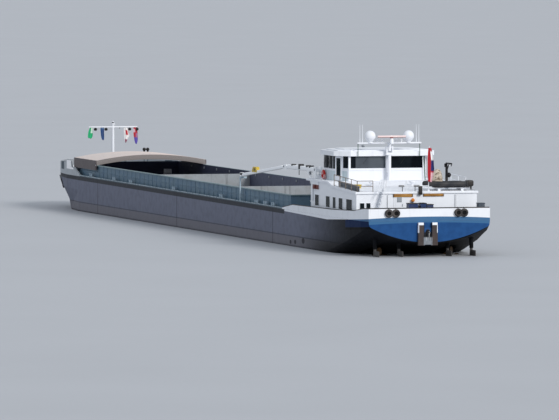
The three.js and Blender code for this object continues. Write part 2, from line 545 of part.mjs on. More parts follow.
// Columns: wall number, start and end as a share of the wall, then how many panes
const PANE_POST = 0.02;
const CABIN_PANES = [[7, 0.03, 0.97, 2], [0, 0.05, 0.34, 1], [6, 0.66, 0.95, 1], [1, 0.04, 0.96, 3],
  [5, 0.04, 0.96, 3], [2, 0.08, 0.92, 1], [4, 0.08, 0.92, 1], [3, 0.03, 0.97, 3]];
const wallCut = (wall, from, to, z0, z1) => {
  const [ax, ay] = CABIN_OUTLINE[wall];
  const [bx, by] = CABIN_OUTLINE[(wall + 1) % CABIN_OUTLINE.length];
  const length = Math.hypot(bx - ax, by - ay);
  const geometry = new THREE.BoxGeometry(length * (to - from), 0.6, z1 - z0);
  geometry.rotateZ(Math.atan2(by - ay, bx - ax));
  const t = (from + to) / 2;
  geometry.translate(ax + (bx - ax) * t, ay + (by - ay) * t, (z0 + z1) / 2);
  return solid(geometry);
};
const paneCuts = CABIN_PANES.flatMap(([wall, from, to, count]) =>
  Array.from({ length: count }, (_, i) => {
    const step = (to - from) / count;
    const start = from + i * step + (i > 0 ? PANE_POST : 0);
    const end = from + (i + 1) * step - (i < count - 1 ? PANE_POST : 0);
    return wallCut(wall, start, end, CABIN.sill, CABIN.head);
  }));
// Doorways on the two aft corners. Columns: side, wall number, start and end as a share of the wall
const CABIN_DOORS = [['starboard', 0, 0.44, 0.82], ['port', 6, 0.18, 0.56]];
const doorCuts = CABIN_DOORS.map(([, wall, from, to]) => wallCut(wall, from, to, CABIN.floor + 0.06, 8.8));
const cabinInner = inset(CABIN_OUTLINE, CABIN.wall);
const cabinWalls = cut(
  planPrism(CABIN_OUTLINE, CABIN.floor + GAP, CABIN.top, [...cabinInner].reverse()), paneCuts, doorCuts);
const AFT_MAST = {
  s: 11.5, y: -0.1, pivot: 9.6, bar: 10.0, halfBar: 2.8, dome: 1.68, domeZ: 10.58, domeR: 0.46,
};
const mastFoot = fuse(
  bar([AFT_MAST.s, 0, 6.9], [AFT_MAST.s, 0, 9.2], 0.15, 12),
  box(AFT_MAST.s, 12.05, -0.06, 0.06, 8.72, 8.84),
  box(AFT_MAST.s, 12.05, -0.1, 0.1, 7.3, 7.5),
  box(AFT_MAST.s - 0.16, AFT_MAST.s + 0.16, -0.3, -0.2, 9.0, AFT_MAST.pivot + 0.12),
  box(AFT_MAST.s - 0.16, AFT_MAST.s + 0.16, 0.2, 0.3, 9.0, AFT_MAST.pivot + 0.12),
  box(AFT_MAST.s - 0.16, AFT_MAST.s + 0.16, -0.3, 0.3, 9.0, 9.2)).translate([0, AFT_MAST.y, 0]);
place('wheelhouse_walls', fuse(cabinWalls, aboveRoof(mastFoot)), 'white');

const glassOuter = inset(CABIN_OUTLINE, CABIN.wall + GAP);
const glassInner = inset(CABIN_OUTLINE, CABIN.wall + GAP + CABIN.glass);
const glassRing = planPrism(glassOuter, CABIN.sill - 0.05, CABIN.head + 0.05, [...glassInner].reverse());
const wideDoorCuts = CABIN_DOORS.map(([, wall, from, to]) => wallCut(wall, from - 0.03, to + 0.03, 7, 9));
const glassHalves = cut(glassRing, wideDoorCuts).decompose();
glassHalves.sort((a, b) => a.boundingBox().min[0] - b.boundingBox().min[0]);
place('wheelhouse_glass_aft', glassHalves[0], 'glass', 0.1, 0);
place('wheelhouse_glass_fore', glassHalves[1], 'glass', 0.1, 0);

const cabinRoofOutline = [[11.75, -3.2], [12.7, -4.4], [16.6, -4.4], [18.0, -2.4],
  [18.0, 2.4], [16.6, 4.4], [12.7, 4.4], [11.75, 3.2]];
const cabinRoof = fuse(
  planPrism(cabinRoofOutline, CABIN.top + GAP, 9.3),
  planPrism(inset(cabinRoofOutline, 0.4), 9.2, 9.39),
  planPrism(inset(cabinRoofOutline, 1.1), 9.3, 9.46));
place('wheelhouse_roof', cabinRoof, 'white');

for (const [side, wall, from, to] of CABIN_DOORS) {
  const [ax, ay] = CABIN_OUTLINE[wall];
  const [bx, by] = CABIN_OUTLINE[(wall + 1) % CABIN_OUTLINE.length];
  const length = Math.hypot(bx - ax, by - ay);
  const leaf = new THREE.BoxGeometry(length * (to - from) + 0.06, 0.05, 2.0);
  const hole = new THREE.BoxGeometry(length * (to - from) - 0.22, 0.2, 1.5);
  const t = (from + to) / 2;
  for (const [geometry, z] of [[leaf, 7.84], [hole, 7.95]]) {
    geometry.translate(0, -0.025 - GAP, 0);
    geometry.rotateZ(Math.atan2(by - ay, bx - ax));
    geometry.translate(ax + (bx - ax) * t, ay + (by - ay) * t, z);
  }
  const door = cut(solid(leaf), solid(hole));
  place(`wheelhouse_door_${side}`, door, 'white');
}

const helmDesk = fuse(
  box(15.6, 16.3, -1.9, 1.9, CABIN.floor + GAP, 7.75), box(15.9, 16.3, -1.2, 1.2, 7.7, 8.1));
const chair = fuse(box(14.5, 15.1, -0.3, 0.3, 7.25, 7.4), box(14.4, 14.55, -0.3, 0.3, 7.3, 8.1),
  bar([14.8, 0, CABIN.floor + GAP], [14.8, 0, 7.3], 0.09),
  bar([14.8, 0, CABIN.floor + GAP], [14.8, 0, 6.86], 0.3, 12));
place('helm', fuse(helmDesk, chair, box(14.4, 16.0, -0.4, 0.4, CABIN.floor + GAP, 6.85)), 'dark');

// Aft mast head, hinged on its foot, with domes and aerials, and the scanner's place on it
const RADAR = { ahead: -0.65, foot: 10.4, half: 1.22 };
const atMast = (manifold) => manifold.translate([AFT_MAST.s, AFT_MAST.y, 0]);
const domes = [AFT_MAST.dome, -AFT_MAST.dome].map((y) => ball(0, y, AFT_MAST.domeZ, AFT_MAST.domeR, 20));
const aerials = [2.35, 2.58, -2.35, -2.58].map((y) => bar([0, y, AFT_MAST.bar], [0, y, 11.55], 0.025, 6));
const mastHead = fuse(
  bar([0, 0, 9.32], [0, 0, AFT_MAST.bar + 0.05], 0.14, 12),
  bar([0, GAP - 0.2, AFT_MAST.pivot], [0, 0.2 - GAP, AFT_MAST.pivot], 0.1, 12),
  strut([0, -AFT_MAST.halfBar, AFT_MAST.bar], [0, AFT_MAST.halfBar, AFT_MAST.bar], 0.12),
  [AFT_MAST.dome, -AFT_MAST.dome].map((y) => bar([0, y, AFT_MAST.bar], [0, y, 10.3], 0.2, 12)),
  domes, aerials,
  box(RADAR.ahead - 0.2, 0, -0.12, 0.12, AFT_MAST.bar - 0.06, AFT_MAST.bar + 0.04),
  bar([RADAR.ahead, 0, AFT_MAST.bar], [RADAR.ahead, 0, RADAR.foot], 0.16, 12));
place('aft_mast_head', atMast(mastHead), 'white');
const scanner = fuse(
  bar([RADAR.ahead, 0, RADAR.foot + GAP], [RADAR.ahead, 0, RADAR.foot + 0.1], 0.14, 12),
  box(RADAR.ahead - 0.09, RADAR.ahead + 0.09, -RADAR.half, RADAR.half, RADAR.foot + 0.08, RADAR.foot + 0.22));
place('radar_scanner', atMast(scanner), 'white');

// Railings on the roof. Each run is a list of [s, y] corners with posts between them
const RAIL = { height: 0.95, middle: 0.5, tube: 0.045, post: 0.06, pitch: 1.6 };
const railing = (corners) => {
  const parts = [];
  for (let i = 0; i + 1 < corners.length; i += 1) {
    const [s0, y0] = corners[i];
    const [s1, y1] = corners[i + 1];
    const bays = Math.max(1, Math.round(Math.hypot(s1 - s0, y1 - y0) / RAIL.pitch));
    for (let k = i ? 1 : 0; k <= bays; k += 1) {
      const s = s0 + (s1 - s0) * k / bays;
      const y = y0 + (y1 - y0) * k / bays;
      parts.push(strut([s, y, 6.1], [s, y, roofAt(s) + RAIL.height + 0.04], RAIL.post));
    }
    for (const up of [RAIL.middle, RAIL.height]) {
      parts.push(strut([s0, y0, roofAt(s0) + up], [s1, y1, roofAt(s1) + up], RAIL.tube));
    }
  }
  return aboveRoof(fuse(parts));
};

// Ensign staff, clipped to the aft railing, and its flag
const STAFF = { s: 3.67, y: -1.05, rake: 0.25, foot: 6.1, top: 10.02 };
const staff = aboveRoof(fuse(
  bar([STAFF.s, STAFF.y, STAFF.foot], [STAFF.s - STAFF.rake, STAFF.y, STAFF.top], 0.04, 8),
  bar([STAFF.s, STAFF.y, STAFF.foot], [STAFF.s, STAFF.y, 6.45], 0.12, 10)));
place('railing_aft', fuse(railing([[3.6, 2.8], [3.6, STAFF.y]]), staff), 'white');
// The ensign hangs down the after side of its raked staff
const ensignOutline = [[-0.95, 9.65], [-1.15, 9.65], [-1.38, 8.8], [-1.45, 8.2], [-1.3, 7.3], [-1.1, 7.02],
  [-0.95, 7.4], [-0.86, 7.65], [-0.9, 9.4]];
const behindStaff = (z, off) =>
  [STAFF.s - STAFF.rake * (z - STAFF.foot) / (STAFF.top - STAFF.foot) - 0.04 - off, z];
const ensignLayer = profilePrism(
  [behindStaff(10, 0.1), behindStaff(10, GAP), behindStaff(6.8, GAP), behindStaff(6.8, 0.1)], -2, 0);
place('ensign', sectionPrism(ensignOutline, 3, 4).intersect(ensignLayer), 'red', 0.9, 0);

// Dinghy on its cradle, with a covered console and an outboard motor
const dinghyOutline = [[DINGHY.s0, DINGHY.y0], [DINGHY.s1, DINGHY.y0], [DINGHY.s1, -2.2],
  [5.35, -1.35], [4.95, DINGHY.y1], [4.55, -1.35], [DINGHY.s0, -2.2]];
const dinghyBody = cut(
  fuse(planPrism([...dinghyOutline], DINGHY.cradle + 0.12, 7.08),
    planPrism(inset(dinghyOutline, 0.25), DINGHY.cradle + GAP, 6.8)),
  planPrism(inset(dinghyOutline, 0.36), 6.72, 7.2));
const dinghy = fuse(dinghyBody,
  box(4.55, 5.35, -2.7, -1.8, 6.6, 8.0),
  box(4.65, 5.25, -5.28, -4.62, 6.56, 7.1),
  box(4.85, 5.05, -5.3, -5.08, 6.34, 6.7));
place('dinghy', dinghy, 'coaming');

const davitArm = fuse(
  bar([DAVIT.s, DAVIT.y, 6.9 + GAP], [DAVIT.s, DAVIT.y, DAVIT.top], 0.12, 12),
  strut([DAVIT.s + 0.05, DAVIT.y, DAVIT.top - 0.06], [DAVIT.s - 1.35, DAVIT.y, DAVIT.top + 0.08], 0.14),
  strut([DAVIT.s, DAVIT.y, 7.8], [DAVIT.s - 0.7, DAVIT.y, DAVIT.top], 0.09),
  ball(DAVIT.s, DAVIT.y - 0.2, 7.48, 0.2, 12));
place('davit', davitArm, 'dark');

place('railing_port', railing([[3.6, 3.75], [3.6, 5.1], [10.2, 5.1]]), 'white');
place('railing_starboard', railing([[6.2, -5.1], [10.2, -5.1]]), 'white');

// Boarding ladder from the after deck to the roof, leaning athwart, its stringers run up as handrails
const LADDER = { s: [2.78, 3.3], foot: 3.6, head: 2.78, top: 7.3, bar: 0.06, rungs: 8, climb: 0.68 };
const ladder = fuse(
  LADDER.s.map((s) => strut([s, LADDER.foot, DECK_Z - 0.1], [s, LADDER.head, LADDER.top], LADDER.bar)),
  Array.from({ length: LADDER.rungs }, (_, i) => {
    const t = 0.06 + (i + 1) / LADDER.rungs * LADDER.climb;
    const y = LADDER.foot + (LADDER.head - LADDER.foot) * t;
    const z = DECK_Z + (LADDER.top - DECK_Z) * t;
    return box(...LADDER.s, y - 0.09, y + 0.09, z - 0.02, z + 0.02);
  }));
place('aft_ladder', cut(ladder, box(2, 3.45, 2, 5, 3.5, DECK_Z + GAP)), 'white');

// Gangway plank stowed along the port edge of the roof
const gangway = aboveRoof(fuse(
  profilePrism([[4.2, 6.0], [10.1, 6.0], [10.1, 6.9], [9.9, 6.92], [4.2, 6.7]], 4.72, 4.76),
  [6.4, 6.85].map((z) => profilePrism(
    [[4.2, z - 0.2], [10.1, z], [10.1, z + 0.08], [4.2, z - 0.12]], 4.66, 4.82))));
place('gangway_plank', gangway, 'grey');

// Lifebuoy on its bracket on the wheelhouse's port wall
const BUOY = { s: 16.1, y: 4.27, z: 7.23, ring: 0.3, tube: 0.1 };
const buoyRing = new THREE.TorusGeometry(BUOY.ring, BUOY.tube, 8, 20);
buoyRing.rotateX(Math.PI / 2);
buoyRing.translate(BUOY.s, BUOY.y, BUOY.z);
const lifebuoy = fuse(solid(buoyRing),
  box(BUOY.s - 0.34, BUOY.s + 0.34, 4.1 + GAP, BUOY.y - 0.03, BUOY.z - 0.36, BUOY.z - 0.24));
place('lifebuoy', lifebuoy, 'red');

// Deck crane on the port side between hold and deckhouse, stowed pointing forward
const crane = new THREE.Group();
crane.position.set(CRANE.s, CRANE.y, 0);
crane.rotation.z = heading;
vessel.add(crane);
const placeCrane = (name, manifold, colour) => {
  const mesh = place(name, manifold, colour);
  crane.add(mesh);
};
place('crane_pedestal', fuse(
  bar([CRANE.s, CRANE.y, DECK_Z + GAP], [CRANE.s, CRANE.y, CRANE.bearing], 0.4, 16),
  bar([CRANE.s, CRANE.y, DECK_Z + GAP], [CRANE.s, CRANE.y, 4.12], 0.6, 16)), 'white');
const PIN = { u: 0.48, z: 5.15 };
const EYE = { u: 1.9, z: 7.15 };
placeCrane('crane_column', fuse(
  bar([0, 0, CRANE.bearing + GAP], [0, 0, 7.1], 0.34, 16),
  box(-0.3, 0.3, -0.3, -0.2, 7.0, 7.75), box(-0.3, 0.3, 0.2, 0.3, 7.0, 7.75),
  box(0.2, PIN.u + 0.14, -0.2, -0.1, PIN.z - 0.2, PIN.z + 0.2),
  box(0.2, PIN.u + 0.14, 0.1, 0.2, PIN.z - 0.2, PIN.z + 0.2)), 'white');
placeCrane('crane_boom', fuse(
  bar([0, GAP - 0.2, CRANE.pivot], [0, 0.2 - GAP, CRANE.pivot], 0.16, 12),
  sectionPrism([[-0.14, CRANE.pivot - 0.15], [0.14, CRANE.pivot - 0.15], [0.14, CRANE.pivot + 0.15],
    [-0.14, CRANE.pivot + 0.15]], 0, CRANE.boom - 0.35),
  box(CRANE.boom - 0.6, CRANE.boom + 0.15, -0.24, -0.15, CRANE.pivot - 0.18, CRANE.pivot + 0.18),
  box(CRANE.boom - 0.6, CRANE.boom + 0.15, 0.15, 0.24, CRANE.pivot - 0.18, CRANE.pivot + 0.18),
  box(CRANE.boom - 0.6, CRANE.boom - 0.35, -0.24, 0.24, CRANE.pivot - 0.15, CRANE.pivot + 0.15),
  box(EYE.u - 0.15, EYE.u + 0.15, -0.16, -0.1, EYE.z - 0.12, CRANE.pivot - 0.1),
  box(EYE.u - 0.15, EYE.u + 0.15, 0.1, 0.16, EYE.z - 0.12, CRANE.pivot - 0.1)), 'white');
const jibTip = [CRANE.boom + CRANE.jib * Math.cos(droop), CRANE.pivot - CRANE.jib * Math.sin(droop)];
const hookAt = CRANE.boom + 7.4;
const hookZ = CRANE.pivot - (hookAt - CRANE.boom) * Math.tan(droop);
placeCrane('crane_jib', fuse(
  profilePrism([[hookAt - 0.7, hookZ], [hookAt + 0.7, hookZ], [hookAt + 0.4, hookZ + 0.46],
    [hookAt - 0.4, hookZ + 0.46]], -0.15, 0.15),
  bar([CRANE.boom, GAP - 0.15, CRANE.pivot], [CRANE.boom, 0.15 - GAP, CRANE.pivot], 0.14, 12),
  strut([CRANE.boom, 0, CRANE.pivot], [jibTip[0], 0, jibTip[1]], 0.2),
  box(jibTip[0] - 0.2, jibTip[0] + 0.15, -0.12, 0.12, jibTip[1] - 0.1, jibTip[1] + 0.22)), 'white');
const reach = Math.hypot(EYE.u - PIN.u, EYE.z - PIN.z);
const along = (d) => [PIN.u + (EYE.u - PIN.u) * d / reach, 0, PIN.z + (EYE.z - PIN.z) * d / reach];
placeCrane('crane_cylinder_barrel', cut(
  fuse(bar(along(0.3), along(2.15), 0.14, 12), bar(along(0), along(0.36), 0.08, 10),
    bar([PIN.u, GAP - 0.1, PIN.z], [PIN.u, 0.1 - GAP, PIN.z], 0.13, 12)),
  bar(along(0.42), along(2.2), 0.09, 12)), 'white');
placeCrane('crane_cylinder_rod', fuse(
  bar(along(0.45), along(reach), 0.07, 10),
  bar([EYE.u, GAP - 0.1, EYE.z], [EYE.u, 0.1 - GAP, EYE.z], 0.1, 12)), 'steel');

export default vessel;
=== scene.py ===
import math

import bmesh
import bpy
from bpy.props import FloatProperty, FloatVectorProperty, IntProperty, PointerProperty
from mathutils import Matrix, Vector


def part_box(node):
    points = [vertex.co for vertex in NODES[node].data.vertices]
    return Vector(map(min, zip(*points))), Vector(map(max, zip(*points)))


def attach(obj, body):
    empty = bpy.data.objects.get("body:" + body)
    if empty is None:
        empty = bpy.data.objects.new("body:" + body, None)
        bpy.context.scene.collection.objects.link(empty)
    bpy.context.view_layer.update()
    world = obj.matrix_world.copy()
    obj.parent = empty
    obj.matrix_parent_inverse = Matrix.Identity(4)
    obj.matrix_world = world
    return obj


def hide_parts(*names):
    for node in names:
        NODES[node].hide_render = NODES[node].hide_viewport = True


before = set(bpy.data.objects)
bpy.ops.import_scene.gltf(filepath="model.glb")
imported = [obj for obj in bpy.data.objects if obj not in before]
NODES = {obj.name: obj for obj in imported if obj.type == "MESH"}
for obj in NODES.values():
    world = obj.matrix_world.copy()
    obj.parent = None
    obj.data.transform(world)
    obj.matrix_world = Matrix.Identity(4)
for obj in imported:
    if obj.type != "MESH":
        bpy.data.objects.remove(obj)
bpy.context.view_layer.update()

bl_info = {
    "name": "River Cargo Barge",
    "version": (1, 0, 0),
    "blender": (4, 5, 0),
    "location": "3D View > Sidebar > Barge",
    "description": "Dresses a 1:10 model of a river cargo barge with paint, fittings, flags and a studio",
    "category": "Object",
}

# Places are metres of the real vessel: s forward from the transom, y to port, z up from the flat bottom
SCALE = 0.1
MIDSHIP = 54.875
DECK = 4.0
HOLD = {"aft": 22.75, "fore": 97.05}
COVERED = {"aft": 87.9, "fore": 97.0}
DRAUGHT = {"aft": 1.05, "rise": 0.00436}
TYRE = {"s": -0.1, "z": 4.66, "ring": 0.235, "tube": 0.105, "treads": 30}
BUOY = {"s": 16.1, "y": 4.27, "z": 7.23, "ring": 0.3, "tube": 0.1}
CRANE = {"s": 19.2, "y": 3.85, "pivot": 7.5, "boom": 7.5, "jib": 11.0, "heading": 4.66, "droop": 6.0}
FOREMAST = {"s": 102.8, "yard": 8.43, "half": 2.45}
AFT_MAST = {"s": 11.5, "y": -0.1, "bar": 10.0, "half": 2.8}
DOME = {"off": 1.68, "z": 10.58, "radius": 0.46}
BOTH_SIDES = (("port", 1), ("starboard", -1))

# Lines along the vessel, as (station, height) or (station, half width) pairs
ROOF_LINE = [(3.4, 6.22), (10.3, 6.5), (11.5, 6.8), (17.8, 6.8)]
STERN_EDGE = [(0.02, 5.2), (1.5, 5.48), (4.0, 5.66), (8.0, 5.725), (23.6, 5.725)]
STERN_TOP = [(0.0, 5.03), (0.9, 5.0), (3.0, 4.75), (9.0, 4.6), (20.5, 4.48), (23.6, 4.12)]
BOW_EDGE = [(93.6, 5.725), (94.0, 5.725), (99.0, 5.68), (103.0, 5.25), (106.0, 4.4), (108.2, 3.2),
            (109.4, 2.0), (109.95, 0.95)]
BOW_TOP = [(93.6, 4.14), (95.6, 4.7), (96.9, 4.75), (97.3, 5.4), (98.9, 5.4), (99.4, 5.2), (104.0, 5.08),
           (110.0, 4.97)]


def along_line(points, at):
    """Height or half width at a station of a line"""
    for (s0, z0), (s1, z1) in zip(points, points[1:]):
        if at <= s1:
            return z0 + (z1 - z0) * (at - s0) / (s1 - s0)
    return points[-1][1]


def roof_z(s):
    return along_line(ROOF_LINE, s)


def srgb(red, green, blue):
    """Scene-linear colour of a display colour in bytes"""
    return tuple(((c / 255 + 0.055) / 1.055) ** 2.4 if c > 10 else c / 3294.6 for c in (red, green, blue))


def paint(name):
    """A colour of the panel's settings"""
    return tuple(getattr(bpy.context.scene.barge_paint, name))


def place(s, y, z):
    """A point of the model"""
    return Vector(((s - MIDSHIP) * SCALE, y * SCALE, z * SCALE))


TO_MODEL = Matrix.Translation((-MIDSHIP * SCALE, 0, 0)) @ Matrix.Scale(SCALE, 4)


# Modelling
def edges_of(verts):
    return list(dict.fromkeys(edge for vert in verts for edge in vert.link_edges))


def add_object(name, mesh, look):
    """A smooth object of a finished mesh"""
    data = bpy.data.meshes.new(name)
    mesh.to_mesh(data)
    mesh.free()
    data.shade_smooth()
    data.materials.append(material(look))
    piece = bpy.data.objects.new(name, data)
    bpy.context.scene.collection.objects.link(piece)
    return piece


class Mould:
    """Collects one piece in metres of the real vessel and casts it as an object"""

    def __init__(self):
        self.mesh = bmesh.new()

    def move(self, verts, matrix):
        bmesh.ops.transform(self.mesh, matrix=matrix, verts=verts)
        return self

    def soften(self, verts, offset, segments=2):
        if offset:
            bmesh.ops.bevel(self.mesh, geom=edges_of(verts), offset=offset, segments=segments, profile=0.5,
                            affect="EDGES", material=-1, clamp_overlap=True)
        return self

    def block(self, corner, opposite, bevel=0.0, turn=None, segments=2):
        """A box between two opposite corners, turned about its middle"""
        low, high = (Vector(map(end, corner, opposite)) for end in (min, max))
        verts = bmesh.ops.create_cube(self.mesh, size=1.0)["verts"]
        place_at = Matrix.Translation((low + high) / 2) @ (turn or Matrix.Identity(4))
        self.move(verts, place_at @ Matrix.Diagonal((*(high - low), 1)))
        return self.soften(verts, bevel, segments)

    def rod(self, start, end, radius, end_radius=None, sides=12):
        start, end = Vector(start), Vector(end)
        verts = bmesh.ops.create_cone(
            self.mesh, cap_ends=True, segments=sides, radius1=radius,
            radius2=radius if end_radius is None else end_radius, depth=(end - start).length)["verts"]
        turn = (end - start).to_track_quat("Z", "Y").to_matrix().to_4x4()
        return self.move(verts, Matrix.Translation((start + end) / 2) @ turn)

    def ball(self, centre, radius, around=24, up=14, stretch=(1, 1, 1)):
        verts = bmesh.ops.create_uvsphere(self.mesh, u_segments=around, v_segments=up, radius=radius)["verts"]
        return self.move(verts, Matrix.Translation(centre) @ Matrix.Diagonal((*stretch, 1)))

    def pipe(self, points, radius, sides=8):
        for start, end in zip(points, points[1:]):
            self.rod(start, end, radius, sides=sides)
        for point in points:
            self.ball(point, radius, sides, 6)
        return self

    def spin(self, verts, steps):
        """The closed body of a profile spun about the upright axis"""
        bmesh.ops.spin(self.mesh, geom=verts + edges_of(verts), cent=(0, 0, 0), axis=(0, 0, 1),
                       angle=2 * math.pi, steps=steps, use_merge=True)
        return self.island(verts)

    def ring(self, centre, radius, tube, axis="X", around=40, sides=14, stretch=(1, 1, 1)):
        """A torus round an axis"""
        verts = bmesh.ops.create_circle(self.mesh, segments=sides, radius=tube)["verts"]
        self.move(verts, Matrix.Translation((radius, 0, 0)) @ Matrix.Rotation(math.pi / 2, 4, "X"))
        turn = {"X": Matrix.Rotation(math.pi / 2, 4, "Y"), "Y": Matrix.Rotation(math.pi / 2, 4, "X"),
                "Z": Matrix.Identity(4)}[axis]
        place_at = Matrix.Translation(centre) @ Matrix.Diagonal((*stretch, 1)) @ turn
        return self.move(self.spin(verts, around), place_at)

    def island(self, verts):
        """Every vertex joined to the given ones"""
        found = dict.fromkeys(vert for vert in verts if vert.is_valid)
        waiting = list(found)
        while waiting:
            vert = waiting.pop()
            for edge in vert.link_edges:
                other = edge.other_vert(vert)
                if other not in found:
                    found[other] = None
                    waiting.append(other)
        return list(found)

    def slab(self, outline, rise, bevel=0.0):
        """A flat outline of points, given thickness along the vector rise"""
        verts = [self.mesh.verts.new(point) for point in outline]
        face = self.mesh.faces.new(verts)
        made = bmesh.ops.extrude_face_region(self.mesh, geom=[face])["geom"]
        raised = [item for item in made if isinstance(item, bmesh.types.BMVert)]
        bmesh.ops.translate(self.mesh, vec=Vector(rise), verts=raised)
        return self.soften(verts + raised, bevel)

    def turned(self, profile, centre, axis=(0, 0, 1), around=24):
        """A solid of revolution of (radius, height) pairs, closed to the axis at both ends"""
        if profile[0][0]:
            profile = [(0, profile[0][1]), *profile]
        if profile[-1][0]:
            profile = [*profile, (0, profile[-1][1])]
        verts = [self.mesh.verts.new((radius, 0, height)) for radius, height in profile]
        for pair in zip(verts, verts[1:]):
            self.mesh.edges.new(pair)
        made = self.spin(verts, around)
        turn = Vector(axis).to_track_quat("Z", "Y").to_matrix().to_4x4()
        self.move(made, Matrix.Translation(centre) @ turn)
        bmesh.ops.remove_doubles(self.mesh, verts=made, dist=1e-4)
        return self

    def cast(self, name, look, slot, body="vessel", replaces=(), smooth=35, move=None):
        verts = self.mesh.verts[:]
        self.move(verts, TO_MODEL @ (move or Matrix.Identity(4)))
        bmesh.ops.recalc_face_normals(self.mesh, faces=self.mesh.faces[:])
        piece = add_object(name, self.mesh, look)
        piece.data.set_sharp_from_angle(angle=math.radians(smooth))
        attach(piece, body)
        if replaces:
            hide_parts(*replaces)


def dress(look, *names):
    """Gives CAD nodes a material"""
    for name in names:
        node = NODES[name]
        if not node.material_slots:
            node.data.materials.append(material(look))
        for used in node.material_slots:
            used.material = material(look)


# Shading
class Value:
    """A number in a node tree. Arithmetic on it adds Math nodes"""

    def __init__(self, shader, socket):
        self.shader = shader
        self.socket = socket

    def math(self, operation, *others):
        return Value(self.shader, self.shader.add("Math", self, *others, operation=operation).outputs[0])

    def __add__(self, other):
        return self.math("ADD", other)

    def __sub__(self, other):
        return self.math("SUBTRACT", other)

    def __mul__(self, other):
        return self.math("MULTIPLY", other)

    def __rsub__(self, other):
        return (self * -1) + other

    __radd__ = __add__

    def square(self):
        return self * self

    def high(self, other):
        return self.math("MAXIMUM", other)

    def low(self, other):
        return self.math("MINIMUM", other)

    def size(self):
        return self.math("ABSOLUTE")

    def wave(self, pitch):
        """Distance to the nearest even multiple of the pitch"""
        return self.math("PINGPONG", pitch)

    def step(self, start, end):
        """0 below start, 1 above end, smooth between"""
        node = self.shader.add("MapRange", self, start, end, 0.0, 1.0, interpolation_type="SMOOTHSTEP")
        return Value(self.shader, node.outputs[0])

    def between(self, start, end, soft=0.01):
        return self.step(start - soft, start + soft) * (1 - self.step(end - soft, end + soft))


class Shader:
    """A material built of procedural nodes, read in metres of the real vessel"""

    def __init__(self, name, rough=(0.4, 0.6), bump=0.2, grain=260.0, metallic=0.0, coat=0.0, gloss=0.2,
                 ior=1.5, sheen=0.0):
        self.material = bpy.data.materials.new(name)
        self.material.use_nodes = True
        self.tree = self.material.node_tree
        self.surface = self.tree.nodes["Principled BSDF"].inputs
        constants = {"Metallic": metallic, "Coat Weight": coat, "Specular IOR Level": gloss, "IOR": ior,
                     "Sheen Weight": sheen}
        for socket, amount in constants.items():
            self.surface[socket].default_value = amount
        self.place = self.add("TexCoord").outputs["Object"]
        x, y, z = self.split(self.place)
        self.s = x * (1 / SCALE) + MIDSHIP
        self.y = y * (1 / SCALE)
        self.z = z * (1 / SCALE)
        self.rough = rough
        self.bump = bump
        self.grain = grain
        self.relief = None

    def add(self, kind, *given, **settings):
        """A node of a kind, with its first sockets fed in order"""
        node = self.tree.nodes.new(f"ShaderNode{kind}")
        for name, setting in settings.items():
            setattr(node, name, setting)
        for socket, value in zip(node.inputs, given):
            self.feed(socket, value)
        return node

    def feed(self, socket, given):
        if isinstance(given, Value):
            self.tree.links.new(given.socket, socket)
        elif isinstance(given, bpy.types.NodeSocket):
            self.tree.links.new(given, socket)
        elif hasattr(given, "__len__"):
            socket.default_value = (*given[:3], 1.0)
        else:
            socket.default_value = given

    def split(self, vector):
        return [Value(self, out) for out in self.add("SeparateXYZ", vector).outputs]

    def noise(self, scale, detail=3.0, stretch=(1, 1, 1)):
        """Clouds. The scale is in features for each metre of the model"""
        pull = self.add("VectorMath", self.place, operation="MULTIPLY")
        pull.inputs[1].default_value = stretch
        node = self.add("TexNoise", pull.outputs[0])
        node.inputs["Scale"].default_value = scale
        node.inputs["Detail"].default_value = detail
        return Value(self, node.outputs[0])

    def clouds(self, scale, start, end, detail=3.0, stretch=(1, 1, 1)):
        """A mask of clouds, between two levels of noise"""
        return self.noise(scale, detail, stretch).step(start, end)

    def mix(self, share, first, second):
        node = self.add("Mix", share, data_type="RGBA")
        self.feed(node.inputs[6], first)
        self.feed(node.inputs[7], second)
        return node.outputs[2]

    def layers(self, base, *coats):
        """A base colour under (mask, colour) coats, the last on top"""
        for share, colour in coats:
            base = self.mix(share, base, colour)
        return base

    def weather(self, colour, spread=0.16, streak=0.3, dirt=(0.05, 0.045, 0.04)):
        """Uneven paint with vertical runs of dirt"""
        haze = tuple(min(1.0, 3.3 * c) for c in dirt)
        return self.layers(
            colour,
            (self.clouds(9.0, 0.35, 0.72, 4.0) * spread, haze),
            (self.clouds(42.0, 0.55, 0.75) * (spread * 0.6), dirt),
            (self.clouds(34.0, 0.56, 0.78, 3.0, (1, 1, 0.09)) * streak, dirt))

    def finish(self, colour, *coats):
        """The material, of a colour under coats"""
        self.feed(self.surface["Base Color"], self.layers(colour, *coats))
        low, high = self.rough
        self.feed(self.surface["Roughness"], self.noise(30.0) * (high - low) + low)
        height = self.noise(self.grain)
        if self.relief is not None:
            height = height * 0.25 + self.relief
        node = self.add("Bump")
        node.inputs["Strength"].default_value = self.bump
        node.inputs["Distance"].default_value = 0.002
        self.feed(node.inputs["Height"], height)
        self.feed(self.surface["Normal"], node.outputs[0])
        return self.material


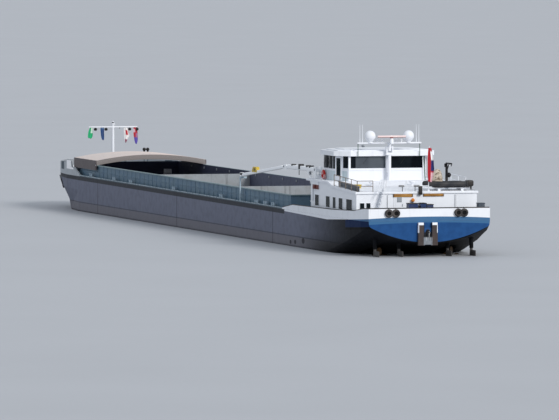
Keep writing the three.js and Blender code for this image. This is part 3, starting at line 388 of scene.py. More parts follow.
# look: material's name, colour in bytes or a setting's name, haze, dirt runs, least and most roughness,
# bump, grain, metallic, coat
PAINTS = {
    "white": ("white_enamel", "white", 0.06, 0.08, 0.3, 0.5, 0.12),
    "blue": ("blue_enamel", (30, 52, 96), 0.2, 0.2, 0.3, 0.5),
    "deck": ("deck_paint", (96, 112, 122), 0.3, 0.1, 0.5, 0.75, 0.4, 420.0),
    "light": ("light_grey_paint", (152, 158, 164), 0.25, 0.4, 0.45, 0.65, 0.25),
    "rudder": ("rudder_paint", (84, 82, 82), 0.3, 0.4, 0.5, 0.7, 0.3),
    "dark": ("dark_steel", (34, 34, 38), 0.3, 0.2, 0.4, 0.65, 0.2, 260.0, 0.3),
    "anchor": ("bow_anchor_paint", (70, 70, 78), 0.3, 0.3, 0.45, 0.65, 0.3),
    "black": ("black_plastic", (20, 20, 23), 0.2, 0.1, 0.3, 0.5),
    "steel": ("galvanised_steel", (150, 154, 158), 0.3, 0.3, 0.35, 0.55, 0.2, 260.0, 0.7),
    "bright": ("bright_steel", (190, 192, 196), 0.1, 0.05, 0.12, 0.25, 0.2, 260.0, 1.0),
    "bronze": ("bronze", (84, 62, 40), 0.35, 0.2, 0.4, 0.6, 0.2, 260.0, 0.6),
    "engine": ("engine_paint", (70, 104, 84), 0.3, 0.3, 0.4, 0.6),
    "yellow": ("yellow_paint", (206, 176, 58), 0.25, 0.2, 0.35, 0.55),
    "bollard": ("bollard_paint", (166, 184, 196), 0.2, 0.15, 0.4, 0.6),
    "rail": ("railing_paint", (142, 130, 118), 0.3, 0.3, 0.4, 0.6),
    "locker": ("locker_paint", (70, 80, 92), 0.25, 0.2, 0.4, 0.6),
    "orange": ("orange_lens", (214, 128, 40), 0.1, 0.05, 0.15, 0.3, 0.2, 260.0, 0.0, 0.5),
    "green": ("green_paint", (44, 84, 66), 0.2, 0.2, 0.35, 0.5),
    "tube": ("dinghy_tube", (40, 43, 49), 0.3, 0.15, 0.45, 0.65, 0.3, 500.0),
}
# flag: its ground, then patches of left, right, top and bottom as shares of the cloth, and colour
FLAGS = {
    "green_flag": ((44, 176, 118), (0.45, 1.1, -0.1, 0.5, (206, 226, 214))),
    "blue_flag": ((48, 82, 134), (-0.1, 1.1, -0.1, 0.12, (90, 120, 160))),
    "white_flag": ((238, 236, 236), (0.3, 0.75, 0.18, 0.5, (196, 44, 54)),
                   (0.2, 1.1, 0.78, 1.1, (150, 84, 104))),
    "red_flag": ((196, 52, 66), (-0.1, 0.4, 0.1, 0.3, (226, 196, 206)), (-0.1, 1.1, 0.6, 1.1, (102, 88, 182)),
                 (0.5, 1.1, 0.35, 0.6, (180, 120, 160))),
    "tricolour": ((190, 40, 52), (0.5, 1.1, 0.1, 0.4, (240, 240, 242)), (0.5, 1.1, 0.36, 0.68, (36, 46, 104)),
                  (0.55, 1.1, 0.72, 1.1, (226, 188, 196))),
}
MATERIALS = {}


def material(look):
    """A shared material, made the first time that it is asked for. A look is a row above or a recipe below"""
    if look not in MATERIALS:
        if look in PAINTS:
            MATERIALS[look] = painted(*PAINTS[look])
        elif look in FLAGS:
            MATERIALS[look] = cloth(look, *FLAGS[look])
        else:
            MATERIALS[look] = look()
    return MATERIALS[look]


def painted(name, colour, spread, streak, low, high, bump=0.2, grain=260.0, metallic=0.0, coat=0.0):
    shader = Shader(name, (low, high), bump, grain, metallic, coat)
    base = paint(colour) if isinstance(colour, str) else srgb(*colour)
    return shader.finish(shader.weather(base, spread, streak))


def cloth(name, ground, *patches):
    """Flag cloth with a weave, read from its UV map"""
    shader = Shader(name, (0.8, 0.95), 0.35, 900.0, sheen=0.25)
    across, down, _ = shader.split(shader.add("UVMap").outputs[0])
    creases = shader.noise(60.0, 3.0, (1, 1, 0.25))
    weave = [(along * 300.0).math("SINE") for along in (across, down)]
    shader.relief = weave[0] * weave[1] * 0.4 + creases
    masks = [(across.between(left, right, 0.03) * down.between(top, bottom, 0.03), srgb(*tone))
             for left, right, top, bottom, tone in patches]
    # the cloth is darker along its creases: painted shade
    return shader.finish(srgb(*ground), *masks, (creases.step(0.5, 0.75) * 0.3, (0.04, 0.04, 0.05)))


def boundary(shader):
    """Height where the stern's white ends, on hull and bulwark alike"""
    across = 4.365 - shader.y.square() * 0.0055 - shader.s * 0.044
    return across.high(shader.s * 0.0093 + 3.64)


def hull_paint():
    shader = Shader("hull_paint", (0.45, 0.65), 0.3, 180.0, ior=1.25)
    s, y, z = shader.s, shader.y, shader.z
    shader.relief = s.wave(1.5).step(0.0, 0.04) * 0.6 + shader.noise(22.0, 2.0) * 0.8
    afloat = z + s * DRAUGHT["rise"] - DRAUGHT["aft"]
    above = z - boundary(shader)
    amidships = s.step(22.8, 23.0)
    quarter = 1 - s.step(5.0, 5.15)
    seams = (26.4, 57.8, 86.5)
    # station, height over the water and radius of the stains
    stains = ((17.2, 0.62, 0.3), (19.6, 0.42, 0.22), (21.0, 0.36, 0.2))
    transom = shader.layers(
        paint("blue"),
        (shader.clouds(20.0, 0.35, 0.7, 4.0) * 0.45, srgb(28, 62, 108)),
        (above.step(-0.5, -0.46), srgb(62, 104, 144)),
        (1 - (z - y.square() * 0.049).step(2.24, 2.27), srgb(8, 9, 12)))
    deck = shader.mix(shader.clouds(60.0, 0.4, 0.7) * 0.5, srgb(96, 112, 122), srgb(70, 84, 94))
    lining = shader.layers(
        srgb(150, 148, 144),
        (shader.clouds(40.0, 0.4, 0.7, 4.0) * 0.4, srgb(112, 106, 100)),
        (z.step(2.8, 3.0) * 0.9, srgb(80, 84, 104)),
        # painted shade: the hold's walls darken towards the covered fore end
        (s.step(66.0, 76.0) * 0.6, srgb(34, 38, 62)))

    def stain(station, height, radius):
        away = (s - station).square() * 0.35 + (afloat - height).square()
        return 1 - away.step(radius ** 2 * 0.5, radius ** 2)

    return shader.finish(
        paint("hull"),
        (shader.clouds(14.0, 0.4, 0.7, 4.0) * 0.5, tuple(0.72 * c for c in paint("hull"))),
        (shader.clouds(55.0, 0.5, 0.8, 3.0, (1, 1, 0.12)) * 0.3, srgb(104, 104, 114)),
        ((1 - afloat.step(0.78, 0.9)) * 0.6, srgb(120, 116, 118)),
        (afloat.between(0.84, 0.93, 0.03) * 0.6, srgb(48, 48, 54)),
        ((1 - afloat.step(0.02, 0.2)) * 0.7, srgb(46, 46, 50)),
        *((s.between(at, at + 0.13, 0.03) * 0.85, srgb(40, 40, 46)) for at in seams),
        *((s.between(at - 0.95, at - 0.86, 0.03) * 0.35, srgb(132, 128, 132)) for at in seams),
        *((stain(*row) * 0.8, srgb(38, 36, 40)) for row in stains),
        (z.step(3.6, 3.64) * amidships * 0.92, srgb(52, 54, 58)),
        # painted shade over the counter's black paint: the stern quarter darkens to near black towards the
        # transom
        ((1 - s.step(3.0, 21.0)) * 0.96, srgb(8, 10, 14)),
        # painted shade: darker still low down aft, under the counter
        ((1 - s.step(8.0, 19.0)) * (1 - z.step(1.2, 2.6)) * 0.8, srgb(6, 7, 9)),
        # painted shade: the blue strip along the port quarter, darker than the same strip on the transom
        (quarter * above.step(-0.66, -0.63), srgb(12, 36, 74)),
        (quarter * above.between(-0.84, -0.66, 0.015), srgb(6, 7, 10)),
        (1 - s.step(0.005, 0.02), transom),
        (above.step(-0.01, 0.01) * (1 - amidships), paint("white")),
        (z.step(3.996, 3.999), deck),
        ((1 - y.size().step(5.12, 5.14)) * s.between(22.6, 97.2, 0.05), lining))


def stern_bulwark_paint():
    shader = Shader("stern_bulwark_paint", (0.35, 0.55), 0.15)
    below = 1 - (shader.z - boundary(shader)).step(-0.01, 0.01)
    blue = shader.mix(shader.clouds(20.0, 0.4, 0.7, 4.0) * 0.3, srgb(62, 104, 144), srgb(50, 90, 130))
    return shader.finish(
        shader.weather(paint("white"), 0.06, 0.1),
        (below * shader.z.step(3.9, 4.0) * (1 - shader.s.step(5.0, 6.0)), blue))


def bow_bulwark_paint():
    shader = Shader("bow_bulwark_paint", bump=0.15)
    return shader.finish(
        shader.weather(srgb(172, 178, 184), 0.12, 0.25),
        (shader.z.step(4.4, 4.45) * shader.s.between(100.4, 102.3, 0.05), srgb(40, 62, 76)),
        # the bulwark's white top, its real paint, made brighter than the white enamel as painted light on a
        # face in shade
        (shader.z.step(4.55, 4.6) * shader.s.between(96.1, 98.8, 0.05), srgb(252, 252, 254)))


def coaming_paint():
    shader = Shader("coaming_paint", (0.4, 0.65), 0.25)
    inner = (1 - shader.y.size().step(5.12, 5.14)) * shader.s.between(22.7, 97.1, 0.02)
    lining = shader.weather(srgb(84, 90, 112), 0.2, 0.3, srgb(46, 50, 66))
    return shader.finish(
        shader.weather(paint("coaming"), 0.3, 0.45, srgb(40, 62, 84)),
        (shader.z.step(5.14, 5.17), shader.weather(srgb(122, 142, 146), 0.25, 0.2, srgb(84, 98, 104))),
        # painted shade: the inner face darkens towards the covered fore end
        (inner, shader.mix(shader.s.step(66.0, 76.0) * 0.75, lining, srgb(34, 38, 62))))


def side_deck_paint():
    shader = Shader("side_deck_paint", (0.45, 0.7), 0.35, 420.0)
    rail = shader.mix(shader.clouds(60.0, 0.45, 0.6), srgb(170, 184, 192), srgb(110, 128, 140))
    return shader.finish(
        shader.weather(srgb(86, 104, 116), 0.3, 0.2),
        (shader.z.step(4.06, 4.08), rail),
        (shader.z.step(4.15, 4.17), srgb(166, 184, 196)))


def cover_paint():
    shader = Shader("cover_paint", (0.45, 0.7), 0.3)
    bands = shader.s.wave(0.7).step(0.0, 0.08)
    shader.relief = bands * 0.5
    skirt = shader.mix(shader.s.wave(0.16).step(0.04, 0.1), srgb(84, 78, 80), srgb(110, 103, 103))
    return shader.finish(
        shader.weather(paint("cover"), 0.2, 0.1, srgb(128, 116, 108)),
        ((1 - bands) * 0.4, srgb(142, 132, 124)),
        # painted shade: the covers' aft faces darker than their tops
        ((1 - shader.s.step(88.33, 88.36)) * 0.85, srgb(112, 108, 108)),
        (shader.y.size().step(5.385, 5.395), skirt))


def deckhouse_paint():
    shader = Shader("deckhouse_paint", (0.3, 0.5), 0.12, coat=0.15)
    aft = 1 - shader.s.step(3.505, 3.52)
    seams = sum(((shader.y - at).size().step(0.0, 0.03) for at in (3.1, 2.0, -3.4)), start=-2.0)
    inside = shader.s.between(3.62, 16.58, 0.01) * (1 - shader.y.size().step(5.07, 5.09))
    return shader.finish(
        shader.weather(paint("white"), 0.05, 0.08, srgb(150, 150, 156)),
        ((1 - seams) * aft * 0.55, srgb(120, 124, 130)),
        # painted shade: a soft darker band down the aft wall at y -3.95, where the wall kinks
        (aft * (1 - (shader.y + 3.95).size().step(0.1, 1.2)) * 0.12, srgb(160, 164, 172)),
        (inside, shader.weather(srgb(120, 112, 100), 0.2, 0.1)))


def roof_paint():
    """White, with a brown-red sidelight board to port and a green one to starboard"""
    shader = Shader("roof_paint", (0.45, 0.7), 0.3, 380.0)
    board = shader.s.between(14.2, 15.95) * (1 - shader.z.step(6.4, 6.44))
    return shader.finish(
        shader.weather(paint("white"), 0.14, 0.0, srgb(130, 132, 138)),
        (board * shader.y.step(5.2, 5.24), srgb(112, 62, 58)),
        (board * (1 - shader.y.step(-5.24, -5.2)), srgb(52, 94, 70)))


def cabin_paint():
    shader = Shader("cabin_paint", (0.3, 0.5), 0.1, coat=0.15)
    s, off, z = shader.s, shader.y.size(), shader.z
    side = shader.mix((1 - s.wave(0.45).step(0.0, 0.04)) * 0.6, srgb(196, 210, 216), srgb(130, 140, 148))
    return shader.finish(
        shader.weather(paint("white"), 0.05, 0.07, srgb(150, 152, 160)),
        (off.step(3.34, 3.4) * (1 - z.step(7.6, 7.66)), side),
        (s.between(12.09, 17.3, 0.01) * (1 - off.step(2.9, 3.0)) * z.step(6.9, 7.0), srgb(70, 66, 62)))


def window_glass():
    """Dark panes, with a painted grey reflection on the port half of the aft window"""
    shader = Shader("window_glass", (0.08, 0.16), 0.02, 20.0, gloss=0.3, ior=1.15)
    mottle = shader.noise(8.0, 2.0, (1, 1, 0.4))
    painted_reflection = shader.mix(mottle.step(0.3, 0.7), srgb(84, 90, 96), srgb(66, 72, 80))
    return shader.finish(
        shader.mix(mottle.step(0.4, 0.6), srgb(10, 14, 20), srgb(20, 26, 32)),
        # painted reflection: a lighter grey patch on the port half of the aft window
        (shader.s.between(11.0, 12.3) * shader.y.between(0.0, 2.7), painted_reflection))


def pane_glass():
    shader = Shader("pane_glass", (0.08, 0.16), 0.02, 20.0, gloss=0.3, ior=1.15)
    return shader.finish(srgb(14, 20, 24), (shader.clouds(14.0, 0.3, 0.7, 2.0), srgb(34, 42, 46)))


def stern_anchor_paint():
    """Rusty chocks with white heads, and a grey anchor on a plate between them"""
    shader = Shader("stern_anchor_paint", (0.45, 0.7), 0.4, 300.0, metallic=0.2)
    off, z = (shader.y - 0.2).size(), shader.z
    plate = shader.mix(z.step(3.0, 3.2), srgb(30, 40, 58), paint("blue"))
    anchor = shader.weather(srgb(128, 134, 142), 0.4, 0.3, srgb(70, 66, 62))
    inner = 1 - off.step(0.36, 0.38)
    heads = (off.step(0.76, 0.78) * z.step(3.0, 3.1) + z.step(3.66, 3.7)).low(1.0)
    return shader.finish(
        shader.weather(srgb(66, 60, 60), 0.4, 0.5, srgb(54, 40, 34)),
        (inner, plate),
        (inner * (1 - shader.s.step(-0.1, -0.092)), shader.mix(z.step(2.6, 2.75), anchor, srgb(24, 26, 31))),
        (heads * (1 - inner), paint("white")))


def tyre_rubber():
    shader = Shader("tyre_rubber", (0.65, 0.85), 0.6, 500.0)
    shader.relief = shader.noise(90.0, 2.0)
    port, starboard = (((shader.y - at).size() - half).size() for at, half in ((3.2, 0.3), (-2.7, 0.25)))
    away = port.low(starboard).square() + (shader.z - TYRE["z"]).square()
    return shader.finish(
        shader.weather(srgb(30, 30, 33), 0.4, 0.3, srgb(74, 70, 68)),
        # painted shade: near black in each tyre's hole
        (1 - away.step(0.026, 0.032), srgb(8, 8, 10)))


def varnished_wood():
    """Varnished boards with darker ends"""
    shader = Shader("varnished_wood", (0.25, 0.45), 0.3, 300.0, coat=0.4)
    boards = ((1.2, 0.72), (-1.43, 0.78))
    port, starboard = (((shader.y - at).size() - half).step(0.0, 0.08) for at, half in boards)
    return shader.finish(
        srgb(176, 128, 58),
        (shader.clouds(120.0, 0.35, 0.65, 4.0, (1, 0.08, 1)), srgb(120, 80, 36)),
        (port * starboard * 0.8, srgb(58, 44, 34)))


def canvas():
    shader = Shader("canvas", (0.8, 0.95), 0.5, 700.0, sheen=0.2)
    shader.relief = shader.noise(40.0, 4.0, (1, 0.5, 1))
    return shader.finish(
        srgb(196, 184, 168),
        (shader.relief.step(0.45, 0.62), srgb(120, 104, 88)),
        (shader.clouds(70.0, 0.58, 0.7), srgb(70, 62, 60)))


def lifebuoy_paint():
    """Red and pale quarters"""
    shader = Shader("lifebuoy_paint", (0.4, 0.55), 0.15)
    quarters = ((shader.s - BUOY["s"]) * (shader.z - BUOY["z"])).step(-0.002, 0.002)
    return shader.finish(srgb(188, 46, 42), (quarters * 0.55, srgb(232, 204, 204)))


def plank_aluminium():
    """Metal plank with ribs along its length"""
    shader = Shader("plank_aluminium", (0.35, 0.6), 0.4, metallic=0.6)
    shader.relief = shader.z.wave(0.06).step(0.012, 0.036)
    return shader.finish(srgb(58, 64, 74), (shader.relief, srgb(112, 118, 126)))


def crane_paint():
    shader = Shader("crane_paint", (0.3, 0.5), 0.12, coat=0.2)
    # white brighter than the white enamel: real white paint, made brighter as painted light on the crane's
    # shaded sides
    return shader.finish(shader.weather(srgb(250, 252, 255), 0.04, 0.06, srgb(150, 152, 156)))


def scanner_plastic():
    shader = Shader("scanner_plastic", (0.25, 0.4), 0.08, coat=0.3)
    return shader.finish(
        shader.weather(srgb(236, 214, 212), 0.05, 0.05),
        (1 - shader.z.step(10.5, 10.52), srgb(128, 58, 50)))


def studio_floor():
    shader = Shader("studio_floor", (0.55, 0.7), 0.02, 3.0)
    return shader.finish(srgb(182, 185, 190), (shader.noise(0.6, 2.0), srgb(176, 179, 184)))


# Settings
class BargePaint(bpy.types.PropertyGroup):
    white: FloatVectorProperty(name="White", description="Enamel of deckhouse and bulwarks", size=3,
                               subtype="COLOR", min=0, max=1, default=srgb(232, 235, 241))
    blue: FloatVectorProperty(name="Blue", description="Paint of the transom", size=3,
                              subtype="COLOR", min=0, max=1, default=srgb(36, 78, 130))
    hull: FloatVectorProperty(name="Hull", description="Paint of the hull's sides", size=3,
                              subtype="COLOR", min=0, max=1, default=srgb(114, 118, 134))
    coaming: FloatVectorProperty(name="Coaming", description="Paint of the hold's coaming", size=3,
                                 subtype="COLOR", min=0, max=1, default=srgb(100, 124, 140))
    cover: FloatVectorProperty(name="Covers", description="Paint of the hold's covers", size=3,
                               subtype="COLOR", min=0, max=1, default=srgb(208, 198, 194))


class BargeSizes(bpy.types.PropertyGroup):
    stay_pitch: FloatProperty(name="Stay pitch", description="Distance between stays of the real coaming",
                              default=1.5, min=0.5, max=6, unit="LENGTH")
    rib_pitch: FloatProperty(name="Rib pitch", description="Distance between the ribs of a real cover",
                             default=1.4, min=0.5, max=4, unit="LENGTH")
    rail_radius: FloatProperty(name="Rail radius", description="Radius of the railings on the real vessel",
                               default=0.028, min=0.01, max=0.06, unit="LENGTH")
    blades: IntProperty(name="Propeller blades", description="Blades on each propeller", default=4,
                        min=3, max=6)
    floor: FloatProperty(name="Floor", description="Width of the studio floor", default=600, min=20,
                         max=2000, unit="LENGTH")


class BargeOperator:
    bl_options = {"REGISTER", "UNDO"}


class BARGE_OT_hull(BargeOperator, bpy.types.Operator):
    """Paint the hull and engines and add the hold's frames"""
    bl_idname = "barge.hull"
    bl_label = "Hull"

    frames = {"count": 36, "first": 1.0, "pitch": 2.05}
    bulkheads = (39.5, 71.9)

    def execute(self, context):
        dress(hull_paint, "hull")
        dress("engine", "engine_port", "engine_starboard")
        frames = Mould()
        for k in range(self.frames["count"]):
            s = HOLD["aft"] + self.frames["first"] + k * self.frames["pitch"]
            if any(abs(s - at) <= 0.4 for at in self.bulkheads):
                continue
            for sign in (1, -1):
                frames.block((s - 0.05, sign * 5.02, 0.52), (s + 0.05, sign * 5.095, 3.9), 0.01, segments=1)
        frames.cast("hold_frames", "light", "light_grey")
        return {"FINISHED"}


class BARGE_OT_hold(BargeOperator, bpy.types.Operator):
    """Paint the coaming and bulkheads and add stays, a stiffener and lashing lugs"""
    bl_idname = "barge.hold"
    bl_label = "Hold"

    def execute(self, context):
        pitch = context.scene.barge_sizes.stay_pitch
        dress(coaming_paint, "hold_coaming")
        dress("light", "hold_bulkhead_aft", "hold_bulkhead_fore")
        count = int((HOLD["fore"] - HOLD["aft"] - 1) / pitch)
        for side, sign in BOTH_SIDES:
            mould = Mould()
            for k in range(count + 1):
                s = HOLD["aft"] + 0.5 + k * pitch
                if COVERED["aft"] < s < COVERED["fore"]:
                    continue
                mould.slab([(s, sign * 5.222, 4.06), (s, sign * 5.27, 4.06), (s, sign * 5.245, 4.4),
                            (s, sign * 5.24, 5.165), (s, sign * 5.222, 5.165)], (0.03, 0, 0))
            mould.rod((HOLD["aft"], sign * 5.23, 4.62), (HOLD["fore"], sign * 5.23, 4.62), 0.035, sides=8)
            mould.cast(f"coaming_stays_{side}", coaming_paint, "blue_grey", smooth=30)
            lugs = Mould()
            for k in range(16):
                s = 24.5 + k * 4.5
                lugs.block((s, sign * 5.03, 4.86), (s + 0.22, sign * 5.097, 5.06), 0.02)
            lugs.cast(f"lashing_lugs_{side}", "light", "light_grey")
        return {"FINISHED"}


class BARGE_OT_side_decks(BargeOperator, bpy.types.Operator):
    """Paint the side decks and cap their bollards"""
    bl_idname = "barge.side_decks"
    bl_label = "Side decks"

    # stations of the pairs of bollards, their line and half spacing
    stations = (27.0, 29.4, 32.2, 43.6, 59.6, 74.9, 81.1, 89.8)
    line, apart = 5.53, 0.3

    def execute(self, context):
        dress(side_deck_paint, "side_deck_port", "side_deck_starboard")
        for side, sign in BOTH_SIDES:
            mould = Mould()
            for station in self.stations:
                y = sign * self.line
                for s in (station - self.apart, station + self.apart):
                    mould.turned([(0.1, 4.35), (0.115, 4.37), (0.115, 4.39), (0.1, 4.405)], (s, y, 0),
                                 around=16)
                mould.rod((station - 0.42, y, 4.22), (station + 0.42, y, 4.22), 0.03)
            mould.cast(f"bollard_caps_{side}", "bollard", "white_paint")
        return {"FINISHED"}


def arch(mould, s, wide, half, base, camber, height):
    """A rib that follows a cover's arch, spun about the arch's centre"""
    radius = (half ** 2 + camber ** 2) / (2 * camber)
    centre = Vector((0, 0, base + camber - radius))
    angle = 2 * math.asin(half / radius)
    verts = bmesh.ops.create_cube(mould.mesh, size=1.0)["verts"]
    bmesh.ops.delete(mould.mesh, geom=[vert for vert in verts if vert.co.y > 0], context="VERTS")
    verts = [vert for vert in verts if vert.is_valid]
    mould.move(verts, Matrix.Translation((s, 0, base + camber)) @ Matrix.Diagonal((wide, 0, height, 1)))
    turn = Matrix.Rotation(-angle / 2, 4, "X")
    mould.move(verts, Matrix.Translation(centre) @ turn @ Matrix.Translation(-centre))
    face = [face for face in mould.mesh.faces if all(vert in verts for vert in face.verts)]
    bmesh.ops.spin(mould.mesh, geom=face, cent=centre, axis=(1, 0, 0), angle=angle, steps=18)


class BARGE_OT_covers(BargeOperator, bpy.types.Operator):
    """Paint the hold's stacked covers and add ribs and corner pieces"""
    bl_idname = "barge.covers"
    bl_label = "Hold covers"

    def execute(self, context):
        pitch = context.scene.barge_sizes.rib_pitch
        dress(cover_paint, "hatch_cover_1", "hatch_cover_2", "hatch_cover_3")
        aft, fore = (end.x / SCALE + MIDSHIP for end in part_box("hatch_cover_3"))
        mould = Mould()
        count = int((fore - aft) / pitch)
        for k in range(count + 1):
            s = aft + 0.1 + k * (fore - aft - 0.2) / count
            arch(mould, s, 0.12, 5.46, 5.692, 0.55, 0.03)
        mould.cast("cover_ribs", cover_paint, "cover_paint", "hatch_covers")
        corners = Mould()
        for sign in (1, -1):
            corners.block((aft - 0.02, sign * 5.2, 5.2), (aft + 0.1, sign * 5.483, 5.34), 0.02)
        corners.cast("cover_corners", "white", "cover_paint", "hatch_covers")
        return {"FINISHED"}


class BARGE_OT_bulwarks(BargeOperator, bpy.types.Operator):
    """Paint the bulwarks and cap them with rails and brackets"""
    bl_idname = "barge.bulwarks"
    bl_label = "Bulwarks"

    def execute(self, context):
        dress(stern_bulwark_paint, "stern_bulwark")
        dress(bow_bulwark_paint, "bow_bulwark")
        caps = Mould()
        for sign in (1, -1):
            stations = [0.09, 0.9, 3.0, 6.0, 9.0, 15.0, 20.5, 23.5]
            caps.pipe([(s, sign * (along_line(STERN_EDGE, s) - 0.065), along_line(STERN_TOP, s) + 0.02)
                       for s in stations], 0.05)
        caps.pipe([(0.08, y, 5.06) for y in (5.1, 2.5, 0.0, -2.5, -5.1)], 0.05)
        caps.cast("stern_rail_cap", "dark", "dark_steel")
        bow = Mould()
        for sign in (1, -1):
            stations = [93.8, 95.6, 96.9, 97.3, 98.9, 99.4, 101.0, 103.0, 104.5, 106.0, 107.1, 108.2,
                        109.4, 109.85]
            bow.pipe([(s, sign * (along_line(BOW_EDGE, s) - 0.09), along_line(BOW_TOP, s) + 0.02)
                      for s in stations], 0.055)
        bow.pipe([(109.87, y, 4.99) for y in (0.85, -0.85)], 0.055)
        bow.cast("bow_rail_cap", "light", "white_paint")
        brackets = Mould()
        foot = DECK + 0.01
        for sign in (1, -1):
            for k in range(12):
                s = 2.2 + k * 1.7
                y = sign * (along_line(STERN_EDGE, s) - 0.13)
                z = along_line(STERN_TOP, s) - 0.06
                brackets.slab([(s, y, foot), (s, y - sign * 0.3, foot), (s, y, z)], (0.04, 0, 0))
            for k in range(6):
                s = 98.4 + k * 1.5
                y = sign * (along_line(BOW_EDGE, s) - 0.3)
                brackets.slab([(s, y, foot), (s, y - sign * 0.4, foot), (s, y, 4.9)], (0.05, 0, 0))
        brackets.cast("bulwark_brackets", "light", "white_paint")
        return {"FINISHED"}


class BARGE_OT_stern(BargeOperator, bpy.types.Operator):
    """Paint the stern anchor and winch, and model the hung tyres, flukes, box lids and locker"""
    bl_idname = "barge.stern"
    bl_label = "Stern gear"

    tyres = {"port": (2.9, 3.5), "starboard": (-2.45, -2.95)}

    def execute(self, context):
        dress(stern_anchor_paint, "stern_anchor")
        dress("blue", "stern_winch")
        # a flat black disc behind the stern anchor: painted shade of the recess in the transom
        recess = Mould()
        recess.ball((-0.112, 0.17, 2.985), 0.3, 28, 14, (0.04, 0.7, 1.15))
        recess.cast("anchor_recess", "black", "galvanised")
        shank = Mould()
        shank.block((-0.2, 0.05, 2.3), (-0.12, 0.13, 3.0), 0.03)
        shank.ring((-0.16, 0.09, 3.04), 0.08, 0.03, "X", 20, 8)
        for sign in (1, -1):
            fluke = [(-0.22, 0.05, 2.14), (-0.22, 0.3, 2.14), (-0.18, 0.3, 2.4), (-0.16, 0.22, 2.72)]
            shank.slab([(s, 0.09 + sign * off, z) for s, off, z in fluke], (0.07, 0, 0), 0.015)
        shank.cast("stern_anchor_flukes", "steel", "galvanised")
        for side, places in self.tyres.items():
            mould = Mould()
            for y in places:
                centre = Vector((TYRE["s"], y, TYRE["z"]))
                mould.ring(centre, TYRE["ring"], TYRE["tube"], "X", 48, 18, (0.82, 1, 1))
                # a disc in each tyre's hole, painted near black by the tyre rubber: painted shade inside the
                # tyre
                mould.turned([(0.15, -0.04), (0.17, 0), (0.15, 0.04)], (-0.08, y, TYRE["z"]), (1, 0, 0), 32)
                half = Vector((0.055, 0.02, 0.008))
                for k in range(TYRE["treads"]):
                    turn = Matrix.Rotation(2 * math.pi * k / TYRE["treads"], 4, "X")
                    middle = centre + turn @ Vector((0, 0, 0.332))
                    mould.block(middle - half, middle + half, turn=turn)
            mould.cast(f"tyre_pair_{side}", tyre_rubber, "tyre_rubber", replaces=[f"tyres_{side}"])
            hooks = Mould()
            for y in places:
                hooks.pipe([(-0.02, y, 4.88), (-0.01, y, 5.08), (0.13, y, 5.11), (0.18, y, 4.95)], 0.018, 6)
            hooks.cast(f"tyre_hooks_{side}", "dark", "tyre_rubber")
        winch = Mould()
        winch.turned([(0.3, 0), (0.3, 0.06), (0.2, 0.09), (0.2, 0.33), (0.3, 0.36), (0.3, 0.42)],
                     (0.95, 0.36, 5.0), (0, 1, 0), 20)
        winch.rod((0.95, -0.6, 5.0), (0.95, 1.2, 5.0), 0.05)
        winch.cast("stern_winch_drum", "dark", "blue_paint")
        lids = Mould()
        for y0, y1, z in ((0.8, 1.58, 5.4), (0.08, 0.56, 5.41), (-0.52, 0.0, 5.3)):
            lids.block((0.57, y0 - 0.03, z - 0.02), (1.33, y1 + 0.03, z + 0.05), 0.02)
        lids.cast("stern_box_lids", "black", "blue_paint")
        locker = Mould()
        locker.block((1.2, -5.15, 4.1), (1.8, -4.61, 5.32), 0.03)
        locker.block((1.17, -5.18, 5.3), (1.83, -4.58, 5.38), 0.02)
        locker.rod((1.16, -4.95, 5.2), (1.16, -4.8, 5.2), 0.015)
        locker.cast("stern_locker", "locker", "blue_grey")
        return {"FINISHED"}


class BARGE_OT_drive(BargeOperator, bpy.types.Operator):
    """Model the propellers with twisted blades and paint the rudders"""
    bl_idname = "barge.drive"
    bl_label = "Drive"

    def execute(self, context):
        count = context.scene.barge_sizes.blades
        dress("rudder", "rudder_port_outer", "rudder_port_inner",
              "rudder_starboard_inner", "rudder_starboard_outer")
        for side, sign in BOTH_SIDES:
            hub = Vector((3.9, sign * 3.1, 0.95))
            mould = Mould()
            mould.turned([(0, -0.3), (0.06, -0.28), (0.1, -0.2), (0.15, 0.1), (0.15, 0.3), (0.09, 0.3),
                          (0.09, 0.59)], hub, (1, 0, 0), 28)
            for k in range(count):
                made = bmesh.ops.create_grid(mould.mesh, x_segments=6, y_segments=8, size=0.5)["verts"]
                for vert in made:
                    across, out = vert.co.x * 2, vert.co.y + 0.5
                    radius = 0.1 + 0.62 * out
                    width = 0.26 * math.sin(math.pi * (0.2 + 0.72 * out)) ** 0.7
                    pitch = sign * (1.15 - 0.65 * out)
                    swing = across * width * math.cos(pitch) / radius
                    ahead = across * width * math.sin(pitch)
                    vert.co = (ahead, math.sin(swing) * radius, math.cos(swing) * radius)
                faces = list(dict.fromkeys(face for vert in made for face in vert.link_faces))
                bmesh.ops.recalc_face_normals(mould.mesh, faces=faces)
                bmesh.ops.solidify(mould.mesh, geom=faces, thickness=0.035)
                blade = mould.island(made)
                turn = Matrix.Translation(hub) @ Matrix.Rotation(2 * math.pi * k / count, 4, "X")
                mould.move(blade, turn)
            mould.cast(f"propeller_blades_{side}", "bronze", "bronze", f"propeller_{side}",
                       replaces=[f"propeller_{side}"], smooth=50)
        return {"FINISHED"}


